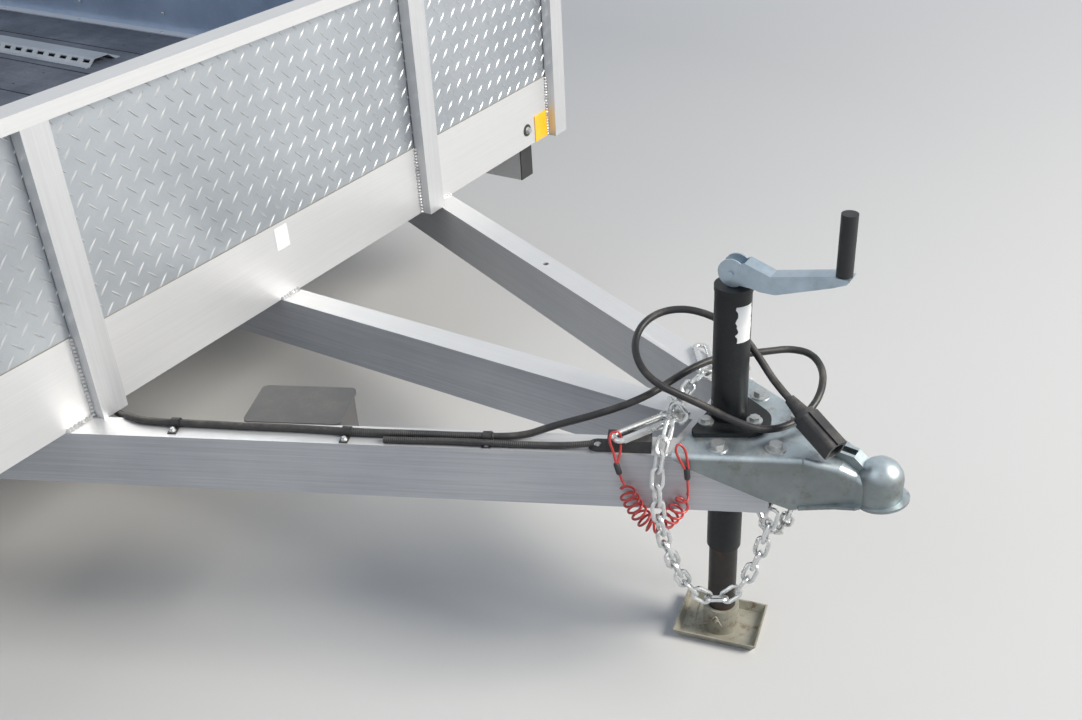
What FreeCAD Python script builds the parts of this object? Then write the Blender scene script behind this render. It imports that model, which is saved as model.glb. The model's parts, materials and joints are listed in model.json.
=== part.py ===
import FreeCAD, Part
import Sketcher
import math
import os
import re
from types import SimpleNamespace

from FreeCAD import Placement, Rotation, Vector

# Utility trailer, in millimetres. The sub-parts are drawn from the front face of the bed's front
# rail (Y = 0, forward is -Y) and from the top of the tongue tubes (Z = 0). Each one's Placement
# then stands it in the trailer's own frame: origin on the ground under the middle, +Z up.

doc = FreeCAD.newDocument("utility_trailer")

# Driving sizes: name, value in mm (degrees for angles), what it is
SIZES = (
    ("tongue_top", 443.0, "top of the tongue tubes over the ground"),
    ("bed_length", 3657.6, "12 foot bed, front rail's face to rear sill's face"),
    ("bed_width", 2032.0, "80 inch bed, over the side rails"),
    ("rail_height", 152.4, "6 inch perimeter rail"),
    ("rail_width", 25.4, "perimeter rail, across"),
    ("rail_wall", 3.2, "wall of the perimeter rail"),
    ("clamp_reach", 38.1, "lip on the side rails that holds the boards down"),
    ("clamp_thick", 3.0, "thickness of that lip"),
    ("deck_height", 110.0, "top of the boards over the tongue tubes' top"),
    ("board_thick", 38.0, "2 inch nominal board"),
    ("board_gap", 5.0, "gap between boards"),
    ("board_edge", 15.6, "side rail's inner face to the boards"),
    ("wall_top", 531.4, "top of the top rail"),
    ("post_width", 50.8, "upright, across"),
    ("post_depth", 25.4, "upright, proud of the rail"),
    ("post_wall", 3.2, "wall of the uprights and top rails"),
    ("post_inset", 533.4, "front corner upright to the next one"),
    ("sheet_thick", 2.5, "treadplate wall sheet"),
    ("sheet_recess", 1.5, "wall sheet behind the rail's outer face"),
    ("lining_thick", 2.0, "smooth inner wall sheet"),
    ("seam", 0.3, "gap where a sheet or board meets a frame piece"),
    ("tube_width", 50.8, "2 by 4 inch tube, across"),
    ("tube_height", 101.6, "2 by 4 inch tube, tall"),
    ("tube_wall", 4.8, "wall of that tube"),
    ("tongue_half_angle", 24.4, "outer tongue tubes' angle to the centre line"),
    ("tongue_apex", 1132.0, "point where their centre lines meet, ahead of the rail"),
    ("tongue_front", 1040.0, "front ends of the outer tongue tubes"),
    ("cross_ahead", 180.7, "lower cross tube ahead of where the tongue tubes meet the main rails"),
    ("centre_front", 902.0, "front end of the centre tongue tube"),
    ("spacer_thick", 12.7, "plate across the centre tube's front end"),
    ("main_rail_side", 104.8, "main rail's centre line, in from the bed's side"),
    ("main_rail_inset", 36.0, "main rail's ends from the bed's ends"),
    ("cap_thick", 3.0, "plastic plug on a main rail's end"),
    ("joist_width", 38.1, "floor joist channel's flange"),
    ("joist_wall", 4.0, "floor joist's wall"),
    ("joist_first", 120.0, "first joist's web from the front face"),
    ("axle_gap", 864.0, "front axle to rear axle"),
    ("axle_middle", 2160.0, "middle of the axle group, behind the front face"),
    ("strip_side", 341.0, "grip strip's centre line, in from the bed's side"),
    ("strip_width", 124.0, "grip strip over its feet"),
    ("strip_crown", 48.0, "grip strip's flat top"),
    ("strip_rise", 20.0, "grip strip over the deck"),
    ("strip_thick", 2.5, "grip strip's sheet"),
    ("strip_foot", 16.0, "grip strip's foot, across"),
    ("strip_pitch", 50.0, "slot to slot along a grip strip's slopes"),
    ("strip_slot", 30.0, "slot in a grip strip's slope, along"),
    ("strip_front", 1320.0, "front end of the grip strips, behind the front face"),
    ("strip_rear", 500.0, "rear end of the grip strips, ahead of the sill's face"),
    ("tyre_radius", 331.5, "205/75 R14 tyre"),
    ("tyre_width", 203.0, "tyre's section width"),
    ("tread_width", 158.0, "tyre's tread, across"),
    ("rim_radius", 177.8, "14 inch rim, at the bead seat"),
    ("rim_width", 152.0, "rim, over the flanges"),
    ("rim_flange", 12.0, "rim flange over the bead seat"),
    ("rim_wall", 5.0, "rim's wall"),
    ("wheel_out", 132.6, "wheel's middle plane outside the uprights"),
    ("arm_length", 152.4, "torsion arm"),
    ("axle_tube", 63.5, "square torsion axle tube"),
    ("axle_pad", 6.0, "pad between axle tube and main rail"),
    ("arm_thick", 24.0, "torsion arm, across"),
    ("arm_gap", 112.0, "torsion arm's outer face to the wheel's middle plane"),
    ("arm_hub", 38.0, "torsion arm's radius at the axle tube"),
    ("arm_tip", 30.0, "torsion arm's radius at the spindle"),
    ("arm_bar", 52.0, "torsion arm, tall"),
    ("pad_length", 150.0, "axle pad along the main rail"),
    ("spindle_radius", 19.0, "spindle"),
    ("backing_radius", 138.0, "brake backing plate"),
    ("backing_x", 22.0, "backing plate outside the torsion arm"),
    ("backing_thick", 4.0, "brake backing plate's sheet"),
    ("drum_radius", 142.0, "brake drum"),
    ("hub_cap", 42.0, "hub cap's radius"),
    ("nut_circle", 57.2, "wheel nuts' circle, 5 on 4 1/2 inch"),
    ("nut_radius", 10.0, "wheel nut"),
    ("vent_circle", 124.0, "circle of the round vents in the rim"),
    ("vent_radius", 9.0, "vent in the rim"),
    ("fender_gap", 60.0, "tyre to fender"),
    ("fender_width", 245.0, "fender, across"),
    ("fender_thick", 3.0, "fender's sheet"),
    ("fender_skirt", 50.0, "outer skirt of the fender"),
    ("fender_foot", 60.0, "fender's lower edges over the wheels' centres"),
    ("gate_rise", 6.0, "ramp gate over the sill"),
    ("gate_height", 1219.2, "48 inch ramp gate"),
    ("gate_side_gap", 8.0, "ramp gate to the side walls"),
    ("gate_slat", 25.4, "ramp gate's cross bar"),
    ("gate_slat_pitch", 121.0, "cross bar to cross bar"),
    ("hinge_back", 12.0, "gate's hinge line behind the sill's face"),
    ("hinge_drop", 4.0, "gate's hinge line under the gate"),
    ("hinge_radius", 9.0, "hinge barrel"),
    ("hinge_pin", 5.0, "hinge pin"),
    ("hinge_side", 316.0, "outer hinges' middles, in from the bed's side"),
    ("barrel_length", 40.0, "each of a hinge's three barrels"),
    ("barrel_play", 0.5, "gap between the hinge's barrels"),
    ("leaf_tall", 60.0, "hinge leaf, tall"),
    ("leaf_thick", 5.0, "hinge leaf"),
    ("lamp_side", 166.0, "tail lamp's middle, in from the bed's side"),
    ("lamp_rise", 45.0, "tail lamp's middle over the tongue tubes' top"),
    ("lamp_run", 55.0, "tail lamp's straight edges, half along"),
    ("lamp_half", 27.0, "tail lamp, half tall"),
    ("lamp_thick", 10.0, "tail lamp, proud of the sill"),
    ("reflector_side", 81.5, "front reflector's middle, in from the bed's side"),
    ("reflector_wide", 55.0, "front reflector, across"),
    ("reflector_tall", 66.0, "front reflector, tall"),
    ("reflector_foot", 1.0, "front reflector over the tongue tubes' top"),
    ("reflector_thick", 2.5, "front reflector"),
    ("ball_y", 1190.0, "coupler ball's centre, ahead of the rail"),
    ("ball_drop", 25.6, "ball's centre under the tongue tubes' top"),
    ("ball_radius", 29.4, "coupler socket, for a 2 5/16 inch ball"),
    ("coupler_wall", 4.6, "coupler's plate"),
    ("coupler_rear", 903.0, "rear edge of the coupler, ahead of the rail"),
    ("coupler_lip", 11.0, "flange round the foot of the coupler"),
    ("coupler_neck", 1085.0, "where the coupler's skirts end and its neck begins, ahead of the rail"),
    ("coupler_bend", 9.0, "bend between the coupler's top plate and skirts"),
    ("neck_foot", 87.0, "lower edge of the neck's rear end under the tongue tubes' top"),
    ("nose_foot", 66.0, "lower edge of the coupler's nose under the tongue tubes' top"),
    ("waist_ahead", 54.0, "ball's centre to the neck's waist"),
    ("waist_half", 38.0, "neck's waist, half across"),
    ("ridge_half", 13.0, "ridge over the neck, half across"),
    ("ridge_top", 10.0, "top of the ridge over the tongue tubes' top"),
    ("slot_length", 27.0, "slot in the ridge, along"),
    ("slot_half", 7.0, "slot in the ridge, half across"),
    ("flange_rear", 33.0, "jack flange's rear edge behind the jack's axis"),
    ("flange_nose", 69.0, "jack flange's nose ahead of the jack's axis"),
    ("flange_half", 75.0, "jack flange's rear corners, half across"),
    ("jack_y", 940.0, "jack's axis, ahead of the rail"),
    ("jack_radius", 28.575, "jack's outer tube, 2 1/4 inch"),
    ("jack_wall", 4.0, "jack's outer tube"),
    ("jack_bottom", 251.0, "jack's outer tube, lower end"),
    ("jack_top", 245.0, "jack's outer tube, upper end"),
    ("cap_tall", 9.0, "cap on the jack's tube"),
    ("leg_gap", 0.375, "jack leg in its tube, all round"),
    ("leg_overlap", 170.0, "jack leg inside its tube"),
    ("flange_thick", 8.0, "jack's mounting flange"),
    ("flange_pcd", 88.0, "jack flange's bolt circle"),
    ("foot_length", 147.0, "jack's foot, long side"),
    ("foot_width", 111.0, "jack's foot, short side"),
    ("foot_turn", 11.8, "jack's foot, turned from the tongue"),
    ("foot_plate", 4.0, "jack's foot, plate"),
    ("foot_rim", 18.0, "jack's foot, upturned rim"),
    ("collar_radius", 31.0, "jack foot's collar"),
    ("collar_height", 52.0, "jack foot's collar"),
    ("crank_reach", 165.0, "jack's axis to the grip"),
    ("crank_pin", 268.0, "crank's cross pin"),
    ("crank_head", 21.0, "radius of the crank's round cheeks"),
    ("crank_width", 26.0, "crank's channel, across"),
    ("crank_sheet", 3.2, "crank's sheet"),
    ("grip_foot", 297.0, "foot of the crank's grip"),
    ("grip_radius", 12.0, "crank grip"),
    ("grip_length", 94.0, "crank grip"),
)

# Places worked out from them: name, formula
PLACES = (
    ("half_width", "bed_width / 2"),
    ("side_inner", "half_width - rail_width"),
    ("wall_outer", "half_width + post_depth"),
    ("nose_y", "ball_y + ball_radius + coupler_wall + coupler_lip"),
    ("tail_y", "bed_length + hinge_back + hinge_radius"),
    ("front_y", "(nose_y - tail_y) / 2"),
    ("post_top", "wall_top - post_depth"),
    ("joist_top", "deck_height - board_thick"),
    ("axle_z", "tyre_radius - tongue_top"),
    ("axle_tube_z", "0 - tube_height - axle_pad - axle_tube / 2"),
    ("gate_half", "side_inner - lining_thick - gate_side_gap"),
    ("gate_z", "deck_height + gate_rise"),
    ("board_width", "(side_inner - board_edge) / 5 - board_gap"),
    ("main_rail_x", "half_width - main_rail_side"),
    ("strip_x", "half_width - strip_side"),
    ("wheel_x", "wall_outer + wheel_out"),
    ("arm_outer", "wheel_x - arm_gap"),
    ("hinge_y", "bed_length + hinge_back"),
    ("hinge_z", "gate_z - hinge_drop"),
    ("leg_radius", "jack_radius - jack_wall - leg_gap"),
)


def make_sheet(name, rows, mark=""):
    """A sheet of sizes: each row holds a name, its value as text and a note."""
    sheet = doc.addObject("Spreadsheet::Sheet", name)
    for line, (alias, value, *note) in enumerate(rows, 1):
        sheet.set("A%d" % line, alias)
        sheet.set("B%d" % line, mark + str(value))
        sheet.setAlias("B%d" % line, alias)
        if note:
            sheet.set("C%d" % line, note[0])
    doc.recompute()
    return sheet


OWNER = {}


def named(formula):
    """The formula with each size's sheet in front of it."""
    return re.sub(r"[a-z]\w+", lambda word: OWNER[word[0]] + "." + word[0], formula)


size_sheet = make_sheet("sizes", SIZES)
OWNER.update((row[0], "sizes") for row in SIZES)
place_rows = []
for alias, formula in PLACES:
    full = re.sub(r"[a-z]\w+", lambda word: ("sizes." if word[0] in OWNER else "") + word[0], formula)
    place_rows.append((alias, full))
place_sheet = make_sheet("places", place_rows, "=")
OWNER.update((row[0], "places") for row in PLACES)

S = SimpleNamespace(**{row[0]: float(size_sheet.get(row[0])) for row in SIZES},
                    **{row[0]: float(place_sheet.get(row[0])) for row in PLACES})

NODES = []


def bind(thing, **formulas):
    """Ties properties to formulas; a double underscore stands for the dot in a path."""
    for path, formula in formulas.items():
        thing.setExpression(path.replace("__", "."), named(formula))
    return thing


def node(label, thing):
    """Names a sub-part and stands it in the trailer's frame."""
    thing.Label = label
    thing.Placement = Placement(Vector(0, S.front_y, S.tongue_top), Rotation())
    bind(thing, Placement__Base__y="front_y", Placement__Base__z="tongue_top")
    NODES.append(thing)
    return thing


def box(name, corner, extent):
    """A box from the formulas of its lowest corner and of its three sides."""
    thing = doc.addObject("Part::Box", name)
    bind(thing, Length=extent[0], Width=extent[1], Height=extent[2])
    return bind(thing, Placement__Base__x=corner[0], Placement__Base__y=corner[1], Placement__Base__z=corner[2])


def group(name, things):
    thing = doc.addObject("Part::Compound", name)
    thing.Links = things
    return thing


def shaped(name, shape):
    """A sub-part whose form is worked out with Part's own functions, where it was drawn."""
    thing = doc.addObject("Part::Feature", name)
    thing.Shape = shape if shape.Placement.isIdentity() else Part.makeCompound([shape])
    return thing


def rect(low_u, low_v, high_u, high_v):
    """The four corners of a rectangle, as formulas."""
    return ((low_u, low_v), (high_u, low_v), (high_u, high_v), (low_u, high_v))


# For an extrusion along X, Y or Z: the plane of its section, whether the pad turns round,
# and the sign of the plane's offset
EXTRUDE = {"X": ("YZ_Plane", False, ""), "Y": ("XZ_Plane", True, "-"), "Z": ("XY_Plane", False, "")}


def extrusion(name, axis, loops, start, length):
    """A body whose section, drawn from closed loops of corner formulas, is padded along an axis."""
    body = doc.addObject("PartDesign::Body", name)
    role, turned, sign = EXTRUDE[axis]
    sketch = body.newObject("Sketcher::SketchObject", name + "_section")
    plane = [feature for feature in body.Origin.OriginFeatures if feature.Role == role][0]
    sketch.AttachmentSupport = [(plane, "")]
    sketch.MapMode = "FlatFace"
    bind(sketch, AttachmentOffset__Base__z="%s(%s)" % (sign, start))
    for turn, loop in enumerate(loops):
        corners = [Vector(math.cos(k), math.sin(k)) * (100 - 40 * turn)
                   for k in (2 * math.pi * i / len(loop) for i in range(len(loop)))]
        first = sketch.GeometryCount
        for here, there in zip(corners, corners[1:] + corners[:1]):
            sketch.addGeometry(Part.LineSegment(here, there))
        for k, (u, v) in enumerate(loop):
            after = first + (k + 1) % len(loop)
            sketch.addConstraint(Sketcher.Constraint("Coincident", first + k, 2, after, 1))
            for way, formula, value in (("DistanceX", u, corners[k].x), ("DistanceY", v, corners[k].y)):
                index = sketch.addConstraint(Sketcher.Constraint(way, -1, 1, first + k, 1, value))
                sketch.setExpression("Constraints[%d]" % index, named(formula))
    pad = body.newObject("PartDesign::Pad", name + "_pad")
    pad.Profile = sketch
    pad.Reversed = turned
    bind(pad, Length=length)
    body.Tip = pad
    return body


def hollow(name, axis, low_u, low_v, high_u, high_v, wall, start, length):
    """A rectangular tube along an axis."""
    inner = ["(%s) + %s" % (low, wall) for low in (low_u, low_v)]
    outer = ["(%s) - %s" % (high, wall) for high in (high_u, high_v)]
    return extrusion(name, axis, (rect(low_u, low_v, high_u, high_v), rect(*inner, *outer)), start, length)


def outline(start, *steps):
    """A closed face from lines and arcs: each step is an end point, or a pair of mid and end."""
    edges, here = [], start
    for step in steps + (start,):
        if isinstance(step, tuple):
            edges.append(Part.Arc(here, step[0], step[1]).toShape())
            here = step[1]
        elif (step - here).Length > 1e-6:
            edges.append(Part.makeLine(here, step))
            here = step
    return Part.Face(Part.Wire(edges))


def frame_pieces():
    """Tongue, main rails, perimeter rails, joists and deck."""
    run = "(bed_length - 2 * main_rail_inset)"
    for side, low, high in (("right", "main_rail_x - tube_width / 2", "main_rail_x + tube_width / 2"),
                            ("left", "0 - main_rail_x - tube_width / 2", "0 - main_rail_x + tube_width / 2")):
        rail = hollow("main_tube_" + side, "Y", low, "0 - tube_height", high, "0", "tube_wall",
                      "main_rail_inset", run)
        node("main_rail_" + side, rail)
    caps = []
    for side, low in (("right", "main_rail_x - tube_width / 2"), ("left", "0 - main_rail_x - tube_width / 2")):
        for end, where in (("front", "main_rail_inset - cap_thick"), ("rear", "bed_length - main_rail_inset")):
            caps.append(box("cap_%s_%s" % (side, end), (low, where, "0 - tube_height"),
                            ("tube_width", "cap_thick", "tube_height")))
    node("rail_end_caps", group("end_caps", caps))

    # the front rail is a plain tube, the side rails have a lip over the boards' edges
    node("front_rail", hollow("front_rail_tube", "X", "0", "0", "rail_width", "rail_height", "rail_wall",
                              "0 - half_width", "bed_width"))
    node("rear_sill", hollow("rear_sill_tube", "X", "bed_length - rail_width", "0", "bed_length", "deck_height",
                             "rail_wall", "0 - side_inner", "2 * side_inner"))
    for side, sign in (("right", ""), ("left", "0 - ")):
        section = [("side_inner", "0"), ("half_width", "0"), ("half_width", "rail_height"),
                   ("side_inner", "rail_height"), ("side_inner", "deck_height + clamp_thick"),
                   ("side_inner - clamp_reach", "deck_height + clamp_thick"),
                   ("side_inner - clamp_reach", "deck_height"), ("side_inner", "deck_height")]
        hole = rect("side_inner + rail_wall", "rail_wall", "half_width - rail_wall", "rail_height - rail_wall")
        loops = [[("%s(%s)" % (sign, u), v) for u, v in loop] for loop in (section, hole)]
        node("side_rail_" + side, extrusion("side_rail_section_" + side, "Y", loops, "rail_width",
                                            "bed_length - rail_width"))

    # floor joists: C channels between the side rails
    joists = []
    count = 9
    for k in range(count):
        web = "joist_first + %d * (bed_length - 2 * joist_first - joist_width) / %d" % (k, count - 1)
        channel = [(web, "0"), (web + " + joist_width", "0"), (web + " + joist_width", "joist_wall"),
                   (web + " + joist_wall", "joist_wall"), (web + " + joist_wall", "joist_top - joist_wall"),
                   (web + " + joist_width", "joist_top - joist_wall"), (web + " + joist_width", "joist_top"),
                   (web, "joist_top")]
        joists.append(extrusion("joist_%d" % k, "X", (channel,), "0 - side_inner", "2 * side_inner"))
    node("floor_joists", group("joists", joists))

    boards = []
    for k in range(10):
        low = "%d * (board_width + board_gap) + board_gap / 2" % (k - 5)
        boards.append(box("board_%d" % k, (low, "rail_width + seam", "joist_top"),
                          ("board_width", "bed_length - 2 * rail_width - 2 * seam", "board_thick")))
    node("deck_boards", group("boards", boards))


def tongue_pieces():
    """The two outer tongue tubes, mitred to the main rails, and the centre one with its cross tube."""
    slope = math.tan(math.radians(S.tongue_half_angle))
    half = S.tube_width / 2 / math.cos(math.radians(S.tongue_half_angle))
    rail_face = S.main_rail_x - S.tube_width / 2
    cross_front = rail_face / slope - S.tongue_apex - S.cross_ahead

    def edge(offset, y):
        return Vector((y + S.tongue_apex) * slope + offset, y, 0)

    def member(offset, grow):
        front = -S.tongue_front - grow
        inner, outer = edge(-offset, front), edge(offset, front)
        rear_inner = Vector(rail_face + grow, (rail_face + grow + offset) / slope - S.tongue_apex, 0)
        rear_outer = Vector(rail_face + grow, (rail_face + grow - offset) / slope - S.tongue_apex, 0)
        return outline(inner, outer, rear_outer, rear_inner)

    shell = member(half, 0).extrude(Vector(0, 0, -S.tube_height))
    wall = S.tube_wall / math.cos(math.radians(S.tongue_half_angle))
    bore = member(half - wall, 10).extrude(Vector(0, 0, -S.tube_height + 2 * S.tube_wall))
    bore.translate(Vector(0, 0, -S.tube_wall))
    right = shell.cut(bore)
    hole_y = -385.0
    hole = Part.makeCylinder(6, S.tube_wall * 3, Vector((hole_y + S.tongue_apex) * slope, hole_y, -S.tube_wall * 2))
    node("tongue_tube_right", shaped("tongue_right", right.cut(hole)))
    node("tongue_tube_left", shaped("tongue_left", right.mirror(Vector(0, 0, 0), Vector(1, 0, 0))))

    # the cross tube's ends are cut to the outer tubes' inner faces
    def between(y_low, y_high):
        corners = [edge(-half, y_low), edge(-half, y_high)]
        twins = [Vector(-corner.x, corner.y, 0) for corner in reversed(corners)]
        return outline(*corners, *twins)

    top, down = Vector(0, 0, -S.tube_height), Vector(0, 0, -S.tube_wall)
    cross = between(cross_front, cross_front + S.tube_width).extrude(top)
    end = edge(0, cross_front + S.tube_width).x
    core = Part.makeBox(2 * end, S.tube_width - 2 * S.tube_wall, S.tube_height - 2 * S.tube_wall,
                        Vector(-end, cross_front + S.tube_wall, S.tube_wall - S.tube_height))
    spacer = between(-S.centre_front, -S.centre_front + S.spacer_thick).extrude(top)
    reach = cross_front + S.centre_front - S.spacer_thick
    low = Vector(-S.tube_width / 2, S.spacer_thick - S.centre_front, -S.tube_height)
    centre = Part.makeBox(S.tube_width, reach, S.tube_height, low)
    inside = Part.makeBox(S.tube_width - 2 * S.tube_wall, reach, S.tube_height - 2 * S.tube_wall,
                          low + Vector(S.tube_wall, 0, S.tube_wall))
    node("tongue_cross_tube", shaped("cross_tube", cross.cut(core)))
    node("tongue_tube_centre", shaped("centre_tube", centre.cut(inside).fuse(spacer).removeSplitter()))


def wall_pieces():
    """Uprights, wall sheets, linings and top rails."""
    posts = []
    for k, x in enumerate(("0 - half_width", "0 - half_width + post_inset", "half_width - post_inset - post_width",
                           "half_width - post_width")):
        posts.append(hollow("front_post_%d" % k, "Z", x, "0 - post_depth", "(%s) + post_width" % x, "0",
                            "post_wall", "0", "post_top"))
    node("front_posts", group("front_uprights", posts))
    for side, low, high in (("right", "half_width", "wall_outer"), ("left", "0 - wall_outer", "0 - half_width")):
        posts = []
        for k in range(5):
            y = "%d * (bed_length - post_width) / 4" % k
            posts.append(hollow("post_%s_%d" % (side, k), "Z", low, y, high, "(%s) + post_width" % y,
                                "post_wall", "0", "post_top"))
        node("side_posts_" + side, group("uprights_" + side, posts))

    tall = "post_top - rail_height - 2 * seam"
    plate = box("front_plate", ("0 - side_inner", "sheet_recess", "rail_height + seam"),
                ("2 * side_inner", "sheet_thick", tall))
    node("front_sheet", group("front_wall", [plate]))
    for side, x in (("right", "half_width - sheet_recess - sheet_thick"), ("left", "0 - half_width + sheet_recess")):
        plate = box("side_plate_" + side, (x, "rail_width", "rail_height + seam"),
                    ("sheet_thick", "bed_length - rail_width", tall))
        node("side_sheet_" + side, group("side_wall_" + side, [plate]))
    foot = "deck_height + clamp_thick + seam"
    rise = "post_top - seam - (%s)" % foot
    linings = [box("lining_front", ("0 - side_inner + lining_thick + seam", "rail_width", foot),
                   ("2 * (side_inner - lining_thick - seam)", "lining_thick", rise)),
               box("lining_right", ("side_inner - lining_thick", "rail_width", foot),
                   ("lining_thick", "bed_length - rail_width", rise)),
               box("lining_left", ("0 - side_inner", "rail_width", foot),
                   ("lining_thick", "bed_length - rail_width", rise))]
    node("wall_linings", group("linings", linings))

    # top rails, mitred at the front corners
    def rail_loop(grow):
        out, deep = S.wall_outer - grow, S.post_depth - grow
        low, high = S.post_top + grow, S.wall_top - grow
        inner, back = S.side_inner + grow, S.rail_width - grow
        return out, deep, low, high, inner, back

    def front_rail(grow):
        out, deep, low, high, inner, back = rail_loop(grow)
        face = outline(Vector(-out, -deep, low), Vector(out, -deep, low), Vector(inner, back, low),
                       Vector(-inner, back, low))
        return face.extrude(Vector(0, 0, high - low))

    def side_rail(grow, over):
        out, deep, low, high, inner, back = rail_loop(grow)
        face = outline(Vector(out, -deep, low), Vector(out, S.bed_length + over, low),
                       Vector(inner, S.bed_length + over, low), Vector(inner, back, low))
        return face.extrude(Vector(0, 0, high - low))

    node("top_rail_front", shaped("front_top_rail", front_rail(0).cut(front_rail(S.post_wall))))
    right = side_rail(0, 0).cut(side_rail(S.post_wall, -S.post_wall))
    node("top_rail_right", shaped("right_top_rail", right))
    node("top_rail_left", shaped("left_top_rail", right.mirror(Vector(0, 0, 0), Vector(1, 0, 0))))


def hat_strips():
    """Raised grip strips on the deck: an arched sheet with flat feet."""
    strips = []
    half, crown, thick = S.strip_width / 2, S.strip_crown / 2, S.strip_thick
    toe = half - S.strip_foot
    under = [(-half, 0), (-toe, 0), (-crown, S.strip_rise - thick), (crown, S.strip_rise - thick), (toe, 0), (half, 0)]
    over = [(half, thick), (toe + 1, thick), (crown + 1, S.strip_rise), (-crown - 1, S.strip_rise),
            (-toe - 1, thick), (-half, thick)]
    length = S.bed_length - S.strip_front - S.strip_rear
    count = int(length / S.strip_pitch)
    slot_low, slot_wide = crown + 6, 9.0
    for x in (-S.strip_x, S.strip_x):
        face = outline(*[Vector(x + u, S.strip_front, S.deck_height + v) for u, v in under + over])
        slots = []
        for k in range(count):
            y = S.strip_front + (k + 0.5) * length / count - S.strip_slot / 2
            for low in (x + slot_low, x - slot_low - slot_wide):
                slots.append(Part.makeBox(slot_wide, S.strip_slot, S.strip_rise, Vector(low, y, S.deck_height)))
        strips.append(face.extrude(Vector(0, length, 0)).cut(Part.makeCompound(slots)))
    node("grip_strips", shaped("deck_strips", Part.makeCompound(strips)))


def running_gear():
    """Fenders, torsion axles, rims and tyres."""
    axles = {"front": S.axle_middle - S.axle_gap / 2, "rear": S.axle_middle + S.axle_gap / 2}
    z = S.axle_z
    for side, sign in (("right", 1), ("left", -1)):
        radius = S.tyre_radius + S.fender_gap + S.fender_thick
        front, rear = axles["front"], axles["rear"]

        def band(reach, x, depth):
            """The space under an arch over both wheels, from one X to another."""
            diagonal = reach * math.sqrt(0.5)
            away = math.sqrt(reach ** 2 - S.fender_foot ** 2)
            face = outline(Vector(x, front - away, z + S.fender_foot),
                           (Vector(x, front - diagonal, z + diagonal), Vector(x, front, z + reach)),
                           Vector(x, rear, z + reach),
                           (Vector(x, rear + diagonal, z + diagonal), Vector(x, rear + away, z + S.fender_foot)))
            return face.extrude(Vector(depth, 0, 0))

        near, far = S.wall_outer, S.wall_outer + S.fender_width
        space = band(radius - S.fender_thick, near, S.fender_width - S.fender_thick)
        shell = band(radius, near, S.fender_width).cut(space)
        shell = shell.cut(band(radius - S.fender_skirt, far - S.fender_thick, S.fender_thick))
        if sign < 0:
            shell = shell.mirror(Vector(0, 0, 0), Vector(1, 0, 0))
        node("fender_" + side, shaped("fender_shell_" + side, shell))

    rise = S.axle_z - S.axle_tube_z
    trail = math.sqrt(S.arm_length ** 2 - rise ** 2)
    for end, y in axles.items():
        tube_y = y - trail
        half = S.axle_tube / 2
        span = S.arm_outer - S.arm_thick
        pieces = [Part.makeBox(2 * span, S.axle_tube, S.axle_tube, Vector(-span, tube_y - half, S.axle_tube_z - half))]
        for sign in (1, -1):
            turn = Vector(sign, 0, 0)
            start = sign * span
            pad = Vector(sign * S.main_rail_x - S.tube_width / 2, tube_y - S.pad_length / 2,
                         -S.tube_height - S.axle_pad)
            pieces.append(Part.makeBox(S.tube_width, S.pad_length, S.axle_pad, pad))
            pieces.append(Part.makeCylinder(S.arm_hub, S.arm_thick, Vector(start, tube_y, S.axle_tube_z), turn))
            pieces.append(Part.makeCylinder(S.arm_tip, S.arm_thick, Vector(start, y, z), turn))
            bar = Part.makeBox(S.arm_thick, S.arm_length, S.arm_bar,
                               Vector(min(start, start + sign * S.arm_thick), 0, -S.arm_bar / 2))
            lean = Rotation(Vector(1, 0, 0), math.degrees(math.atan2(rise, trail)))
            bar.Placement = Placement(Vector(0, tube_y, S.axle_tube_z), lean).multiply(bar.Placement)
            pieces.append(bar)
            reach = S.wheel_x - S.arm_outer - 14
            pieces.append(Part.makeCylinder(S.spindle_radius, reach, Vector(sign * S.arm_outer, y, z), turn))
            pieces.append(Part.makeCylinder(S.backing_radius, S.backing_thick,
                                            Vector(sign * (S.arm_outer + S.backing_x), y, z), turn))
        axle = pieces[0].multiFuse(pieces[1:]).removeSplitter()
        node("axle_" + end, shaped("axle_beam_" + end, axle))

    for end, y in axles.items():
        for side, sign in (("left", -1), ("right", 1)):
            centre = Vector(sign * S.wheel_x, y, z)
            node("rim_%s_%s" % (end, side), shaped("rim_shape", rim_shape(centre, sign)))
            node("tyre_%s_%s" % (end, side), shaped("tyre_shape", tyre_shape(centre)))


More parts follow.
